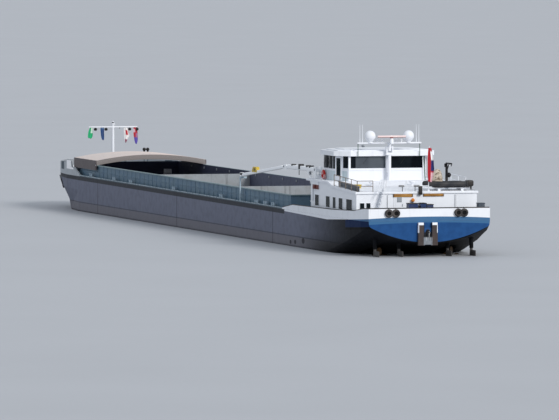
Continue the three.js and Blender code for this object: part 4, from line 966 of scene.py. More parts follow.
class BARGE_OT_foredeck(BargeOperator, bpy.types.Operator):
    """Paint the foredeck and anchors and add hatches, vent heads, drums, bollards and hawse pipes"""
    bl_idname = "barge.foredeck"
    bl_label = "Foredeck"

    def execute(self, context):
        dress("deck", "foredeck_fittings", "anchor_windlass")
        dress("anchor", "bow_anchor_port", "bow_anchor_starboard")
        heads = Mould()
        for y in (-2.05, -2.4):
            heads.ball((98.6, y, 6.36), 0.17, 20, 12)
            heads.rod((98.6, y, 6.1), (98.6, y, 6.25), 0.09)
        heads.cast("vent_heads", "black", "white_paint")
        house = Mould()
        house.block((98.05, -1.55, 4.58), (100.55, 1.55, 4.64), 0.02)
        for y in (-0.8, 0.0, 0.8):
            house.block((98.3, y - 0.3, 4.63), (100.2, y + 0.3, 4.69), 0.02)
            house.rod((98.5, y - 0.15, 4.73), (98.5, y + 0.15, 4.73), 0.02)
        for y in (-0.45, 0.45):
            house.pipe([(100.62, y - 0.12, 4.1), (100.64, y - 0.12, 4.55), (100.64, y + 0.12, 4.55),
                        (100.62, y + 0.12, 4.1)], 0.02)
        house.cast("companion_hatch", "white", "white_paint")
        drums = Mould()
        for y in (-1.35, 1.35):
            drums.turned([(0.46, -0.52), (0.46, -0.45), (0.3, -0.4), (0.3, 0.4), (0.46, 0.45), (0.46, 0.52)],
                         (105.5, y, 4.75), (0, 1, 0), 28)
            for k in range(7):
                drums.ring((105.5, y - 0.33 + k * 0.11, 4.75), 0.33, 0.05, "Y", 28, 8)
        drums.cast("windlass_drums", "dark", "blue_grey")
        motor = Mould()
        motor.block((104.95, -0.45, 5.18), (106.05, 0.45, 5.3), 0.04)
        motor.rod((105.2, -0.3, 5.25), (105.9, -0.3, 5.25), 0.16, sides=16)
        motor.ring((105.5, 0.62, 4.75), 0.3, 0.02, "Y", 28, 6)
        motor.cast("windlass_motor", "blue", "blue_grey")
        gear = Mould()
        for sign in (1, -1):
            for s in (100.9, 107.3):
                y = sign * (along_line(BOW_EDGE, s) - 0.75)
                for shift in (-0.25, 0.25):
                    gear.turned([(0.13, 0), (0.13, 0.42), (0.17, 0.45), (0.17, 0.5)],
                                (s + shift, y, DECK + 0.05), around=16)
            gear.block((97.0, sign * 4.0 - 0.4, DECK + 0.01), (98.2, sign * 4.0 + 0.4, 4.5), 0.04)
            gear.ring((104.55, sign * 4.75, 3.75), 0.16, 0.05, "Y", 24, 8)
        gear.cast("bow_bollards", "white", "white_paint")
        for side, sign in BOTH_SIDES:
            hawse = Mould()
            hawse.ring((104.4, sign * 4.86, 3.55), 0.17, 0.06, "Y", 28, 10)
            hawse.cast(f"hawse_pipe_{side}", "steel", "dark_steel")
        return {"FINISHED"}


class BARGE_OT_foremast(BargeOperator, bpy.types.Operator):
    """Model the folding foremast with its yard, lamps and pulleys"""
    bl_idname = "barge.foremast"
    bl_label = "Foremast"

    def execute(self, context):
        s, yard, half = FOREMAST.values()
        mould = Mould()
        mould.turned([(0.15, 4.76), (0.14, 6.5), (0.12, 8.0), (0.09, 8.96), (0.03, 9.0)],
                     (s, 0, 0), around=20)
        mould.block((s - 0.13, -0.21, 4.66), (s + 0.13, 0.21, 5.3), 0.03)
        mould.block((s - 0.055, -half, yard - 0.055), (s + 0.055, half, yard + 0.055), 0.02)
        mould.block((s - 0.09, -0.14, yard - 0.1), (s + 0.09, 0.14, yard + 0.1), 0.02)
        mould.turned([(0.16, 8.62), (0.18, 8.68), (0.18, 8.8)], (s, 0, 0), around=20)
        mould.turned([(0.1, 8.9), (0.12, 8.94), (0, 8.98)], (s, 0, 0), around=20)
        mould.cast("foremast_dressed", "white", "white_paint", "foremast", replaces=["foremast"])
        lamps = Mould()
        lamps.turned([(0.1, 8.8), (0.1, 8.9)], (s, 0, 0), around=20)
        for y in (-2.44, -1.69, 0.7, 1.77):
            lamps.turned([(0, -0.02), (0.08, -0.03), (0.15, -0.1), (0.16, -0.2), (0.12, -0.3), (0, -0.31)],
                         (s, y, yard - 0.06), around=20)
        lamps.cast("foremast_lamps", "black", "white_paint", "foremast")
        pulleys = Mould()
        for y in (-2.25, -1.42, 1.13, 2.2):
            pulleys.ring((s, y, yard + 0.02), 0.045, 0.015, "X", 16, 6)
        pulleys.block((s - 0.03, -0.72, yard - 0.17), (s + 0.03, -0.62, yard - 0.06), 0.01)
        pulleys.cast("foremast_pulleys", "steel", "white_paint", "foremast")
        return {"FINISHED"}


def add_sheet(name, mesh, look, thickness, body="vessel", replaces=None, length=None):
    """A finished mesh as a sheet, as wide as its area divided by its length, or square without a length"""
    bmesh.ops.recalc_face_normals(mesh, faces=mesh.faces[:])
    area = sum(face.calc_area() for face in mesh.faces)
    piece = add_object(name, mesh, look)
    thick = piece.modifiers.new("thickness", "SOLIDIFY")
    thick.thickness = thickness
    thick.offset = 0
    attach(piece, body)
    if replaces:
        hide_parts(replaces)
    length = length or math.sqrt(area)
    area / length


def hang_flag(node, look, body, station, top, bottom, edges):
    """A flag that hangs in soft folds. Edges are the share down, port and starboard edge"""
    mesh = bmesh.new()
    grid = bmesh.ops.create_grid(mesh, x_segments=48, y_segments=36, size=0.5, calc_uvs=False)["verts"]
    layer = mesh.loops.layers.uv.new("UVMap")
    share = {vert: (vert.co.x + 0.5, 0.5 - vert.co.y) for vert in grid}
    port = [(down, left) for down, left, right in edges]
    starboard = [(down, right) for down, left, right in edges]
    for vert in grid:
        u, v = share[vert]
        left, right = along_line(port, v), along_line(starboard, v)
        fold = math.sin(3 * math.pi * u + 1.3 * v) + 0.35 * math.sin(7 * math.pi * u + 2.6 * v)
        s = station + 0.055 * (0.5 + 0.5 * math.sin(math.pi * min(v + 0.15, 1.0))) * fold
        y = left + (right - left) * u + 0.012 * math.sin(9 * v + 4 * u)
        vert.co = place(s, y, top + (bottom - top) * v + 0.03 * v * math.sin(5 * u))
    for face in mesh.faces:
        for loop in face.loops:
            loop[layer].uv = share[loop.vert]
    add_sheet(f"{node}_cloth", mesh, look, 0.0008, body, node, (top - bottom) * SCALE)


class BARGE_OT_flags(BargeOperator, bpy.types.Operator):
    """Hang the four signal flags from the yard and the ensign from its staff"""
    bl_idname = "barge.flags"
    bl_label = "Flags"

    # node, look, slot, bottom, edges. All four hang from one height
    top = 8.37
    signals = (
        ("flag_green", "green_flag", "green_cloth", 7.31,
         ((0, 2.32, 2.05), (0.45, 2.5, 2.04), (0.85, 2.53, 2.1), (1, 2.45, 2.22))),
        ("flag_blue", "blue_flag", "blue_cloth", 7.14,
         ((0, 1.26, 0.92), (0.6, 1.22, 0.9), (1, 1.08, 0.92))),
        ("flag_white", "white_flag", "white_cloth", 6.88,
         ((0, -1.12, -1.46), (0.5, -1.12, -1.7), (0.7, -1.15, -1.5), (1, -1.22, -1.3))),
        ("flag_red", "red_flag", "red_cloth", 6.74,
         ((0, -2.08, -2.44), (0.5, -2.1, -2.5), (0.8, -2.2, -2.48), (1, -2.3, -2.4))),
    )
    ensign = ((0, -0.95, -1.19), (0.35, -0.9, -1.4), (0.62, -0.9, -1.44), (0.8, -0.92, -1.34),
              (1, -0.96, -1.24))

    def execute(self, context):
        for node, look, slot, bottom, edges in self.signals:
            hang_flag(node, look, "foremast", FOREMAST["s"], self.top, bottom, edges)
        hang_flag("ensign", "tricolour", "vessel", 3.36, 9.86, 7.05, self.ensign)
        return {"FINISHED"}


SIDE_WINDOWS = ((4.7, 6.3), (7.4, 8.5), (9.4, 10.2), (11.1, 12.2), (14.3, 15.4))


def framed(frames, panes, low, high, axis, outward):
    """A frame round an opening and its pane. Axis is the wall's normal, x or y, and outward its sense"""
    run = 1 - axis
    left, right, sill, head = low[run], high[run], low[2], high[2]
    wide, proud, bevel = 0.05, 0.03, 0.012

    def plate(mould, back, front, start, end, bottom, top, bevel=0.0):
        corners = [0, 0, bottom], [0, 0, top]
        for corner, out, along in zip(corners, (back, front), (start, end)):
            corner[axis], corner[run] = low[axis] + outward * out, along
        mould.block(*corners, bevel)

    for bottom, top in ((sill - wide, sill), (head, head + wide)):
        plate(frames, 0, proud, left - wide, right + wide, bottom, top, bevel)
    for start, end in ((left - wide, left), (right, right + wide)):
        plate(frames, 0, proud, start, end, sill, head, bevel)
    plate(panes, 0.002, 0.014, left - 0.01, right + 0.01, sill - 0.01, head + 0.01)


class BARGE_OT_deckhouse(BargeOperator, bpy.types.Operator):
    """Paint the deckhouse and add window frames, panes, doors' fittings, boards and lamps"""
    bl_idname = "barge.deckhouse"
    bl_label = "Deckhouse"

    def execute(self, context):
        dress(deckhouse_paint, "deckhouse_walls")
        dress("white", "deckhouse_door_aft", "deckhouse_door_fore")
        frames, panes = Mould(), Mould()
        for s0, s1 in SIDE_WINDOWS:
            for sign in (1, -1):
                framed(frames, panes, (s0, sign * 5.203, 4.68), (s1, sign * 5.203, 5.58), 1, sign)
        for y0, y1 in ((4.52, 4.9), (4.0, 4.35)):
            framed(frames, panes, (3.497, y0, 4.85), (3.497, y1, 5.35), 0, -1)
        for y0, y1 in ((-3.4, -2.2), (0.4, 1.6)):
            framed(frames, panes, (16.703, y0, 5.0), (16.703, y1, 5.8), 0, 1)
        frames.cast("deckhouse_window_frames", "white", "white_paint")
        panes.cast("deckhouse_panes", pane_glass, "window_glass")
        wood = Mould()
        wood.block((3.43, 0.34, 5.83), (3.495, 2.06, 6.1), 0.02)
        wood.block((3.43, -2.33, 5.85), (3.495, -0.54, 6.12), 0.02)
        wood.cast("blank_boards", varnished_wood, "white_paint")
        lamp = Mould()
        lamp.turned([(0, 0), (0.1, 0.02), (0.16, 0.1), (0.15, 0.2), (0.06, 0.3), (0, 0.32)],
                    (3.34, 0.38, 5.42), around=20)
        lamp.cast("stern_lantern", "orange", "white_paint")
        fittings = Mould()
        fittings.block((3.4, 0.3, 5.36), (3.5, 0.46, 5.44), 0.01)
        for y in (2.55, -3.3):
            fittings.rod((3.46, y, 4.1), (3.46, y, 6.0), 0.02, sides=8)
        fittings.cast("deckhouse_pipes", "light", "white_paint")
        pillar = Mould()
        pillar.block((15.9, 5.21, 5.03), (16.12, 5.3, 6.1), 0.02)
        pillar.turned([(0.07, 4.05), (0.07, 4.9), (0.26, 4.92), (0.26, 4.97), (0, 5.02)], (17.05, 4.9, 0))
        pillar.cast("side_deck_vent", "white", "white_paint")
        dark = Mould()
        dark.block((3.2, -0.4, 6.0), (3.39, -0.09, 6.72), 0.03)
        dark.cast("deckhouse_box", "black", "dark_steel")
        handles = Mould()
        handles.rod((3.44, 1.25, 5.05), (3.44, 1.25, 5.25), 0.02)
        handles.block((3.44, 1.22, 5.12), (3.482, 1.28, 5.18), 0.01)
        handles.block((3.455, 1.3, 4.45), (3.482, 1.72, 4.9), 0.012)
        handles.block((3.455, 1.3, 5.4), (3.482, 1.72, 5.85), 0.012)
        handles.cast("door_fittings_aft", "light", "white_paint", "deckhouse_door_aft")
        fore = Mould()
        fore.rod((16.76, -1.25, 5.05), (16.76, -1.25, 5.25), 0.02)
        fore.block((16.718, -1.28, 5.12), (16.76, -1.22, 5.18), 0.01)
        fore.block((16.718, -1.7, 4.45), (16.745, -1.3, 5.9), 0.012)
        fore.cast("door_fittings_fore", "light", "white_paint", "deckhouse_door_fore")
        return {"FINISHED"}


class BARGE_OT_roof(BargeOperator, bpy.types.Operator):
    """Paint the deckhouse's roof and add gutters, vents, a spare spar and a chest"""
    bl_idname = "barge.roof"
    bl_label = "Deckhouse roof"

    def execute(self, context):
        dress(roof_paint, "deckhouse_roof")
        gutter = Mould()
        stations = [3.46, 10.3, 11.5, 17.7]
        for sign in (1, -1):
            gutter.pipe([(s, sign * 5.25, roof_z(s) + 0.02) for s in stations], 0.035)
        gutter.pipe([(3.46, y, 6.24) for y in (5.25, -5.25)], 0.035)
        gutter.pipe([(17.72, y, 6.82) for y in (5.25, -5.25)], 0.035)
        gutter.cast("roof_gutter", "white", "white_paint")
        spar = Mould()
        for y0, y1 in ((-0.27, 0.22), (1.05, 1.52)):
            spar.block((3.58, y0, 6.64), (3.72, y1, 6.8), 0.03)
        for y in (0.1, 1.2):
            spar.rod((3.65, y, 6.2), (3.65, y, 6.7), 0.03)
        spar.cast("spar_ends", "black", "dark_steel")
        middle = Mould()
        middle.block((3.6, 0.22, 6.66), (3.7, 1.05, 6.76), 0.03)
        middle.cast("stowed_spar", "white", "white_paint")
        vents = Mould()
        for s, y in ((8.6, 4.1), (8.6, -4.3), (9.9, 1.9), (9.9, -1.6)):
            z = roof_z(s)
            vents.turned([(0.12, 0), (0.12, 0.22), (0.24, 0.25), (0.24, 0.34), (0.1, 0.42)],
                         (s, y, z), around=20)
        vents.cast("roof_vents", "white", "white_paint")
        chest = Mould()
        chest.block((7.7, 3.5, roof_z(7.7) - 0.04), (8.3, 3.95, 6.66), 0.05)
        chest.block((7.66, 3.46, 6.62), (8.34, 3.99, 6.7), 0.02)
        chest.cast("roof_chest", "yellow", "white_paint")
        return {"FINISHED"}


CABIN = ((12.0, -3.3), (13.9, -4.1), (16.6, -4.1), (17.4, -2.3), (17.4, 2.3), (16.6, 4.1), (13.9, 4.1),
         (12.0, 3.3))


def on_wall(wall, share, out=0.0):
    """A point on a wall of the wheelhouse, at a share of its length, moved outwards"""
    a, b = Vector(CABIN[wall]), Vector(CABIN[(wall + 1) % len(CABIN)])
    along = (b - a).normalized()
    return a + (b - a) * share + Vector((along.y, -along.x)) * out


def wall_bar(mould, wall, start, end, z0, z1, proud, bevel=0.006, back=0.004):
    """An upright bar on a wall between two shares of its length"""
    outs = ((start, back), (end, back), (end, back + proud), (start, back + proud))
    corners = [on_wall(wall, share, out) for share, out in outs]
    mould.slab([(corner.x, corner.y, z0) for corner in corners], (0, 0, z1 - z0), bevel)


class BARGE_OT_wheelhouse(BargeOperator, bpy.types.Operator):
    """Paint the wheelhouse and add its flush panes, wipers, doors' fittings, ledge, horn and mast stays"""
    bl_idname = "barge.wheelhouse"
    bl_label = "Wheelhouse"

    # wall, start and end shares, sill and head of each pane
    panes = (
        (7, 0.027, 0.488, 7.88, 8.87), (7, 0.527, 0.979, 7.88, 8.87),
        (6, 0.655, 0.97, 7.88, 8.87), (0, 0.03, 0.345, 7.88, 8.87),
        (5, 0.03, 0.47, 7.8, 8.88), (5, 0.53, 0.97, 7.8, 8.88),
        (1, 0.03, 0.47, 7.8, 8.88), (1, 0.53, 0.97, 7.8, 8.88),
        (6, 0.015, 0.165, 7.8, 8.88), (0, 0.835, 0.985, 7.8, 8.88),
        (2, 0.06, 0.94, 7.88, 8.87), (4, 0.06, 0.94, 7.88, 8.87),
        (3, 0.025, 0.335, 7.88, 8.87), (3, 0.345, 0.655, 7.88, 8.87), (3, 0.665, 0.975, 7.88, 8.87),
    )
    # side, wall, start and end shares of each door, end of its pane nearest to the handle
    doors = (("starboard", 0, 0.44, 0.82, 0.47), ("port", 6, 0.18, 0.56, 0.53))
    # wall, start and end shares of the sill's ledges
    ledges = (
        (7, 0.0, 1.0), (0, 0.0, 0.42), (6, 0.58, 1.0), (1, 0.0, 1.0),
        (5, 0.0, 1.0), (2, 0.0, 1.0), (3, 0.0, 1.0), (4, 0.0, 1.0),
    )

    def execute(self, context):
        dress(cabin_paint, "wheelhouse_walls")
        dress("white", "wheelhouse_roof", "wheelhouse_door_starboard", "wheelhouse_door_port")
        dress(window_glass, "wheelhouse_glass_aft", "wheelhouse_glass_fore")
        dress("black", "helm")
        flush, wipers = Mould(), Mould()
        for wall, start, end, sill, head in self.panes:
            wall_bar(flush, wall, start, end, sill, head, 0.014, 0.004)
            middle = on_wall(wall, (start + end) / 2, 0.035)
            tip = on_wall(wall, start + (end - start) * 0.35, 0.035)
            wipers.rod((middle.x, middle.y, head - 0.02), (tip.x, tip.y, sill + 0.35), 0.01, sides=6)
        flush.cast("wheelhouse_panes", window_glass, "window_glass")
        wipers.cast("wheelhouse_wipers", "black", "white_paint")
        for side, wall, start, end, near in self.doors:
            pane = Mould()
            wall_bar(pane, wall, start + 0.03, end - 0.03, 7.2, 8.75, 0.016, 0.004, 0.006)
            door = f"wheelhouse_door_{side}"
            pane.cast(f"wheelhouse_door_pane_{side}", pane_glass, "window_glass", door)
            handle = Mould()
            grip, base = on_wall(wall, near, 0.09), on_wall(wall, near, 0.02)
            handle.rod((grip.x, grip.y, 7.0), (grip.x, grip.y, 7.15), 0.018)
            for z in (7.01, 7.14):
                handle.rod((base.x, base.y, z), (grip.x, grip.y, z), 0.014)
            handle.cast(f"wheelhouse_door_handle_{side}", "steel", "white_paint", door)
        ledge = Mould()
        for wall, start, end in self.ledges:
            wall_bar(ledge, wall, start, end, 7.68, 7.75, 0.03)
        ledge.cast("wheelhouse_ledge", "white", "white_paint")
        horn = Mould()
        horn.turned([(0, 0), (0.05, 0.02), (0.05, 0.3), (0.14, 0.5)], (16.6, 0.5, 9.55), (1, 0, 0), 16)
        horn.rod((16.7, 0.5, 9.4), (16.7, 0.5, 9.55), 0.03)
        horn.cast("wheelhouse_horn", "light", "white_paint")
        stays = Mould()
        for y in (2.6, -2.8):
            stays.rod((11.62, y, 8.86), (11.62, y, 9.86), 0.03, sides=8)
            stays.rod((11.62, y, 9.86), (11.6, y, 9.9), 0.04, sides=8)
        stays.rod((11.7, -3.32, 6.75), (11.85, -3.2, 8.9), 0.035, sides=8)
        stays.cast("aft_mast_stays", "green", "white_paint")
        return {"FINISHED"}


class BARGE_OT_aft_mast(BargeOperator, bpy.types.Operator):
    """Model the folding mast head with its domes, lamps, radar and aerials"""
    bl_idname = "barge.aft_mast"
    bl_label = "Aft mast"

    def execute(self, context):
        s, y, bar, half = AFT_MAST.values()
        mould = Mould()
        mould.turned([(0.14, 9.33), (0.14, bar + 0.02)], (s, y, 0), around=20)
        mould.rod((s, y - 0.19, 9.6), (s, y + 0.19, 9.6), 0.1, sides=18)
        mould.block((s - 0.06, y - half, bar - 0.06), (s + 0.06, y + half, bar + 0.06), 0.02)
        for side in (DOME["off"], -DOME["off"]):
            mould.turned([(0.2, 0), (0.2, 0.12), (0.3, 0.2), (0.3, 0.24)], (s, y + side, bar))
            mould.ball((s, y + side, DOME["z"]), DOME["radius"], 36, 22)
            mould.ring((s, y + side, DOME["z"] - 0.12), 0.445, 0.012, "Z", 36, 6)
        mould.block((s - 0.85, y - 0.12, bar - 0.06), (s, y + 0.12, bar + 0.04), 0.02)
        mould.turned([(0.17, 0), (0.17, 0.28), (0.12, 0.4)], (s - 0.65, y, bar))
        for side in (0.62, -0.62, 1.05, -1.05):
            mould.turned([(0.05, 0), (0.05, 0.1), (0.09, 0.12), (0.09, 0.24), (0.05, 0.27)],
                         (s, y + side, bar + 0.05), around=16)
        mould.cast("aft_mast_dressed", "white", "white_paint", "aft_mast_head", replaces=["aft_mast_head"])
        whips = Mould()
        for side in (2.35, 2.58, -2.35, -2.58):
            whips.rod((s, y + side, bar), (s, y + side, bar + 0.35), 0.035)
            whips.rod((s, y + side, bar + 0.3), (s, y + side, 11.54), 0.026, 0.014, 8)
        whips.cast("aft_mast_aerials", "white", "white_paint", "aft_mast_head")
        radar = Mould()
        radar.rod((s - 0.65, y, 10.41), (s - 0.65, y, 10.5), 0.13, sides=20)
        radar.block((s - 0.76, y - 1.22, 10.47), (s - 0.54, y + 1.22, 10.64), 0.04, segments=3)
        radar.cast("radar_bar", scanner_plastic, "white_plastic", "radar_scanner", replaces=["radar_scanner"])
        return {"FINISHED"}


RAILING = {"height": 0.95, "middle": 0.5, "pitch": 1.6}


def railing(mould, corners, radius):
    """Round rails over the roof, through corners of (s, y)"""
    for (s0, y0), (s1, y1) in zip(corners, corners[1:]):
        bays = max(1, round(math.hypot(s1 - s0, y1 - y0) / RAILING["pitch"]))
        for k in range(bays + 1):
            s, y = s0 + (s1 - s0) * k / bays, y0 + (y1 - y0) * k / bays
            foot = roof_z(s)
            mould.rod((s, y, foot), (s, y, foot + RAILING["height"]), radius * 1.15, sides=8)
            mould.turned([(0.06, 0), (0.05, 0.02)], (s, y, foot + 0.003), around=12)
    for up in (RAILING["middle"], RAILING["height"]):
        mould.pipe([(s, y, roof_z(s) + up) for s, y in corners], radius)


class BARGE_OT_railings(BargeOperator, bpy.types.Operator):
    """Model the roof's railings and the ensign staff of round tube"""
    bl_idname = "barge.railings"
    bl_label = "Railings"

    def execute(self, context):
        radius = context.scene.barge_sizes.rail_radius
        port = Mould()
        railing(port, [(3.6, 3.75), (3.6, 5.1), (10.2, 5.1)], radius)
        port.cast("railing_port_tubes", "rail", "white_paint", replaces=["railing_port"])
        starboard = Mould()
        railing(starboard, [(6.2, -5.1), (10.2, -5.1)], radius)
        starboard.cast("railing_starboard_tubes", "white", "white_paint", replaces=["railing_starboard"])
        aft = Mould()
        railing(aft, [(3.6, 2.8), (3.6, -1.05)], radius)
        aft.rod((3.67, -1.05, 6.2), (3.425, -1.05, 9.98), 0.034, 0.026, 12)
        aft.ball((3.42, -1.05, 9.97), 0.045, 14, 10)
        aft.turned([(0.11, 0), (0.09, 0.15), (0.05, 0.22)], (3.665, -1.05, 6.23), around=16)
        aft.cast("railing_aft_tubes", "white", "white_paint", replaces=["railing_aft"])
        return {"FINISHED"}


class BARGE_OT_dinghy(BargeOperator, bpy.types.Operator):
    """Model the inflatable dinghy with its floor, outboard motor and canvas cover"""
    bl_idname = "barge.dinghy"
    bl_label = "Dinghy"

    def execute(self, context):
        tube = Mould()
        line = [(4.44, -4.4), (4.44, -3.8), (4.44, -3.0), (4.44, -2.3), (4.52, -1.85), (4.67, -1.45),
                (4.83, -1.2), (4.95, -1.15)]
        points = [(s, y, 6.82 + max(0.0, (y + 2.4) * 0.03)) for s, y in line]
        mirror = [(9.9 - s, y, z) for s, y, z in reversed(points[:-1])]
        tube.pipe(points + mirror, 0.225, 20)
        tube.block((4.5, -4.92, 6.5), (5.4, -1.9, 6.63), 0.05)
        tube.block((4.5, -4.78, 6.55), (5.4, -4.66, 7.0), 0.03)
        tube.block((4.6, -3.6, 6.75), (5.3, -3.35, 6.85), 0.03)
        tube.cast("dinghy_hull", "tube", "dinghy_plastic", replaces=["dinghy"])
        strake = Mould()
        for station in (4.255, 5.645):
            strake.pipe([(station, y, z + 0.02) for s, y, z in points[:4]], 0.028)
        strake.cast("dinghy_strake", "light", "dinghy_plastic")
        motor = Mould()
        motor.block((4.5, -5.27, 6.6), (5.3, -4.7, 7.1), 0.12, segments=4)
        motor.block((4.6, -4.72, 6.62), (5.2, -4.6, 6.95), 0.04)
        motor.rod((4.95, -5.15, 6.7), (4.95, -5.15, 6.34), 0.09, 0.06, 12)
        motor.cast("outboard_motor", "black", "dark_plastic")
        self.cover()
        return {"FINISHED"}

    def cover(self):
        """The canvas over the console, draped in a hump"""
        mesh = bmesh.new()
        verts = bmesh.ops.create_uvsphere(mesh, u_segments=40, v_segments=24, radius=1.0)["verts"]
        bmesh.ops.delete(mesh, geom=[v for v in verts if v.co.z < -0.02], context="VERTS")
        for vert in mesh.verts:
            angle = math.atan2(vert.co.y, vert.co.x)
            skirt = 1 - vert.co.z
            crease = 1 + 0.07 * skirt * math.sin(7 * angle) + 0.03 * skirt * math.sin(13 * angle + 1)
            flat = vert.co.z ** 0.8 if vert.co.z > 0 else 0
            s = 4.95 + 0.38 * vert.co.x * crease
            y = -2.18 + 0.5 * vert.co.y * crease
            z = 6.86 + 1.18 * flat * (1 - 0.1 * vert.co.y)
            vert.co = place(s, y, z)
        add_sheet("dinghy_cover", mesh, canvas, 0.001)


class BARGE_OT_davit(BargeOperator, bpy.types.Operator):
    """Model the dinghy's davit with its winch and lamp"""
    bl_idname = "barge.davit"
    bl_label = "Davit"

    def execute(self, context):
        s, y, top = 6.4, -3.5, 8.42
        arm = Mould()
        arm.rod((s, y, 6.91), (s, y, top), 0.12, 0.1, 20)
        arm.block((s - 1.35, y - 0.06, top - 0.02), (s + 0.1, y + 0.06, top + 0.1), 0.02)
        arm.rod((s, y, 7.8), (s - 0.7, y, top), 0.045)
        arm.ball((s, y - 0.2, 7.48), 0.19, 24, 14, (0.9, 1, 1.1))
        arm.rod((s, y - 0.38, 7.48), (s, y - 0.3, 7.48), 0.08)
        arm.ring((s - 1.28, y, top - 0.1), 0.07, 0.02, "Y", 18, 8)
        arm.block((s - 0.1, y - 0.06, 8.14), (s + 0.1, y + 0.19, 8.44), 0.04)
        arm.cast("davit_arm", "dark", "dark_steel", "davit", replaces=["davit"])
        lamp = Mould()
        lamp.ball((s - 0.14, y - 0.13, 8.3), 0.13, 24, 14, (0.7, 0.8, 1.2))
        lamp.cast("davit_lamp", "white", "dark_steel", "davit")
        return {"FINISHED"}


class BARGE_OT_access(BargeOperator, bpy.types.Operator):
    """Paint the boarding ladder, gangway plank and lifebuoy and add their fittings"""
    bl_idname = "barge.access"
    bl_label = "Ladder, plank and lifebuoy"

    def execute(self, context):
        dress("white", "aft_ladder")
        dress(plank_aluminium, "gangway_plank")
        treads = Mould()
        for k in range(8):
            t = 0.06 + (k + 1) / 8 * 0.68
            y, z = 3.6 - 0.82 * t, DECK + 3.3 * t
            treads.block((2.8, y - 0.095, z + 0.022), (3.28, y + 0.095, z + 0.04), 0.006)
        for s in (2.8, 3.28):
            treads.pipe([(s, 3.62, 5.9), (s, 3.2, 7.25), (s + 0.4, 2.95, 7.25), (s + 0.4, 2.95, 6.3)], 0.022)
        treads.cast("ladder_treads", "white", "white_paint")
        ring = Mould()
        s, y, z, radius, tube = BUOY.values()
        ring.ring((s, y, z), radius, tube, "Y", 44, 16)
        ring.block((s - 0.34, 4.103, z - 0.36), (s + 0.34, y - 0.03, z - 0.24), 0.02)
        ring.cast("lifebuoy_ring", lifebuoy_paint, "buoy_plastic", replaces=["lifebuoy"])
        clips = Mould()
        for s in (5.2, 7.2, 9.2):
            clips.block((s, 4.68, roof_z(s)), (s + 0.04, 4.8, roof_z(s) + 0.4), 0.01)
        clips.cast("plank_clips", "steel", "plank_aluminium")
        return {"FINISHED"}


def crane_frame():
    """The crane's own axes: u out along the boom, v to its left"""
    heading = Matrix.Rotation(math.radians(CRANE["heading"]), 4, "Z")
    return Matrix.Translation((CRANE["s"], CRANE["y"], 0)) @ heading


class BARGE_OT_crane(BargeOperator, bpy.types.Operator):
    """Paint the deck crane and add its valves, pipes, bearing and hook"""
    bl_idname = "barge.crane"
    bl_label = "Deck crane"

    bolts, bolt_circle = 12, 0.52
    # distance along the boom, half length, bottom and top over the boom's axis
    valves = ((3.95, 0.2, -0.1, 0.34), (2.2, 0.16, 0.12, 0.3), (1.5, 0.14, 0.1, 0.3), (5.7, 0.12, 0.12, 0.28))

    def execute(self, context):
        dress(crane_paint, "crane_pedestal", "crane_column", "crane_boom", "crane_jib",
              "crane_cylinder_barrel")
        dress("bright", "crane_cylinder_rod")
        turn = crane_frame()
        pivot, boom, jib = CRANE["pivot"], CRANE["boom"], CRANE["jib"]
        droop = math.radians(CRANE["droop"])
        base = Mould()
        base.turned([(0.46, 4.66), (0.5, 4.7), (0.5, 4.76), (0.46, 4.79)], (0, 0, 0), around=28)
        for k in range(self.bolts):
            angle = 2 * math.pi * k / self.bolts
            u, v = self.bolt_circle * math.cos(angle), self.bolt_circle * math.sin(angle)
            base.rod((u, v, 4.12), (u, v, 4.17), 0.035, sides=6)
        base.cast("crane_bearing", "dark", "white_paint", move=turn)
        column = Mould()
        column.turned([(0.42, 4.82), (0.42, 4.9), (0.36, 4.93)], (0, 0, 0), around=28)
        column.rod((0, -0.33, pivot), (0, 0.33, pivot), 0.1, sides=20)
        column.block((-0.62, -0.28, 5.5), (-0.3, 0.28, 6.3), 0.04)
        column.cast("crane_column_fittings", "light", "white_paint", "crane_column", move=turn)
        valves = Mould()
        for u, half, z0, z1 in self.valves:
            valves.block((u - half, -0.2, pivot + z0), (u + half, 0.2, pivot + z1), 0.03)
        valves.rod((4.0, 0.16, pivot - 0.1), (4.0, 0.16, pivot - 0.6), 0.03)
        valves.cast("crane_valves", "black", "white_paint", "crane_boom", move=turn)
        pipes = Mould()
        for v in (-0.09, 0.09):
            pipes.pipe([(0.4, v, pivot + 0.17), (boom - 0.5, v, pivot + 0.17)], 0.022)
        pipes.rod((boom, -0.27, pivot), (boom, 0.27, pivot), 0.08, sides=18)
        pipes.cast("crane_pipes", "steel", "white_paint", "crane_boom", move=turn)
        hook = Mould()
        at, z = boom + 7.4, pivot - 7.4 * math.tan(droop)
        hook.slab([(at - 0.71, -0.157, z - 0.01), (at + 0.71, -0.157, z - 0.01),
                   (at + 0.41, -0.157, z + 0.47), (at - 0.41, -0.157, z + 0.47)], (0, 0.314, 0), 0.03)
        hook.cast("hook_block", "yellow", "white_paint", "crane_jib", move=turn)
        sheave = Mould()
        sheave.rod((at, -0.18, z + 0.24), (at, 0.18, z + 0.24), 0.12, sides=22)
        end_u, end_z = boom + jib * math.cos(droop), pivot - jib * math.sin(droop)
        sheave.block((end_u - 0.9, -0.13, end_z - 0.02), (end_u + 0.12, 0.13, end_z + 0.2), 0.03)
        sheave.cast("jib_sheaves", "black", "white_paint", "crane_jib", move=turn)
        jib_skin, boom_skin = Mould(), Mould()
        middle = (jib - 0.6) / 2 + 0.5
        centre = Vector((boom + middle * math.cos(droop), 0, pivot - middle * math.sin(droop)))
        half = Vector(((jib - 1.2) / 2, 0.135, 0.135))
        jib_skin.block(centre - half, centre + half, 0.06, Matrix.Rotation(droop, 4, "Y"), 3)
        jib_skin.cast("jib_skin", crane_paint, "white_paint", "crane_jib", move=turn)
        boom_skin.block((0.7, -0.175, pivot - 0.19), (boom - 0.5, 0.175, pivot + 0.19), 0.07, segments=3)
        boom_skin.cast("boom_skin", crane_paint, "white_paint", "crane_boom", move=turn)
        return {"FINISHED"}


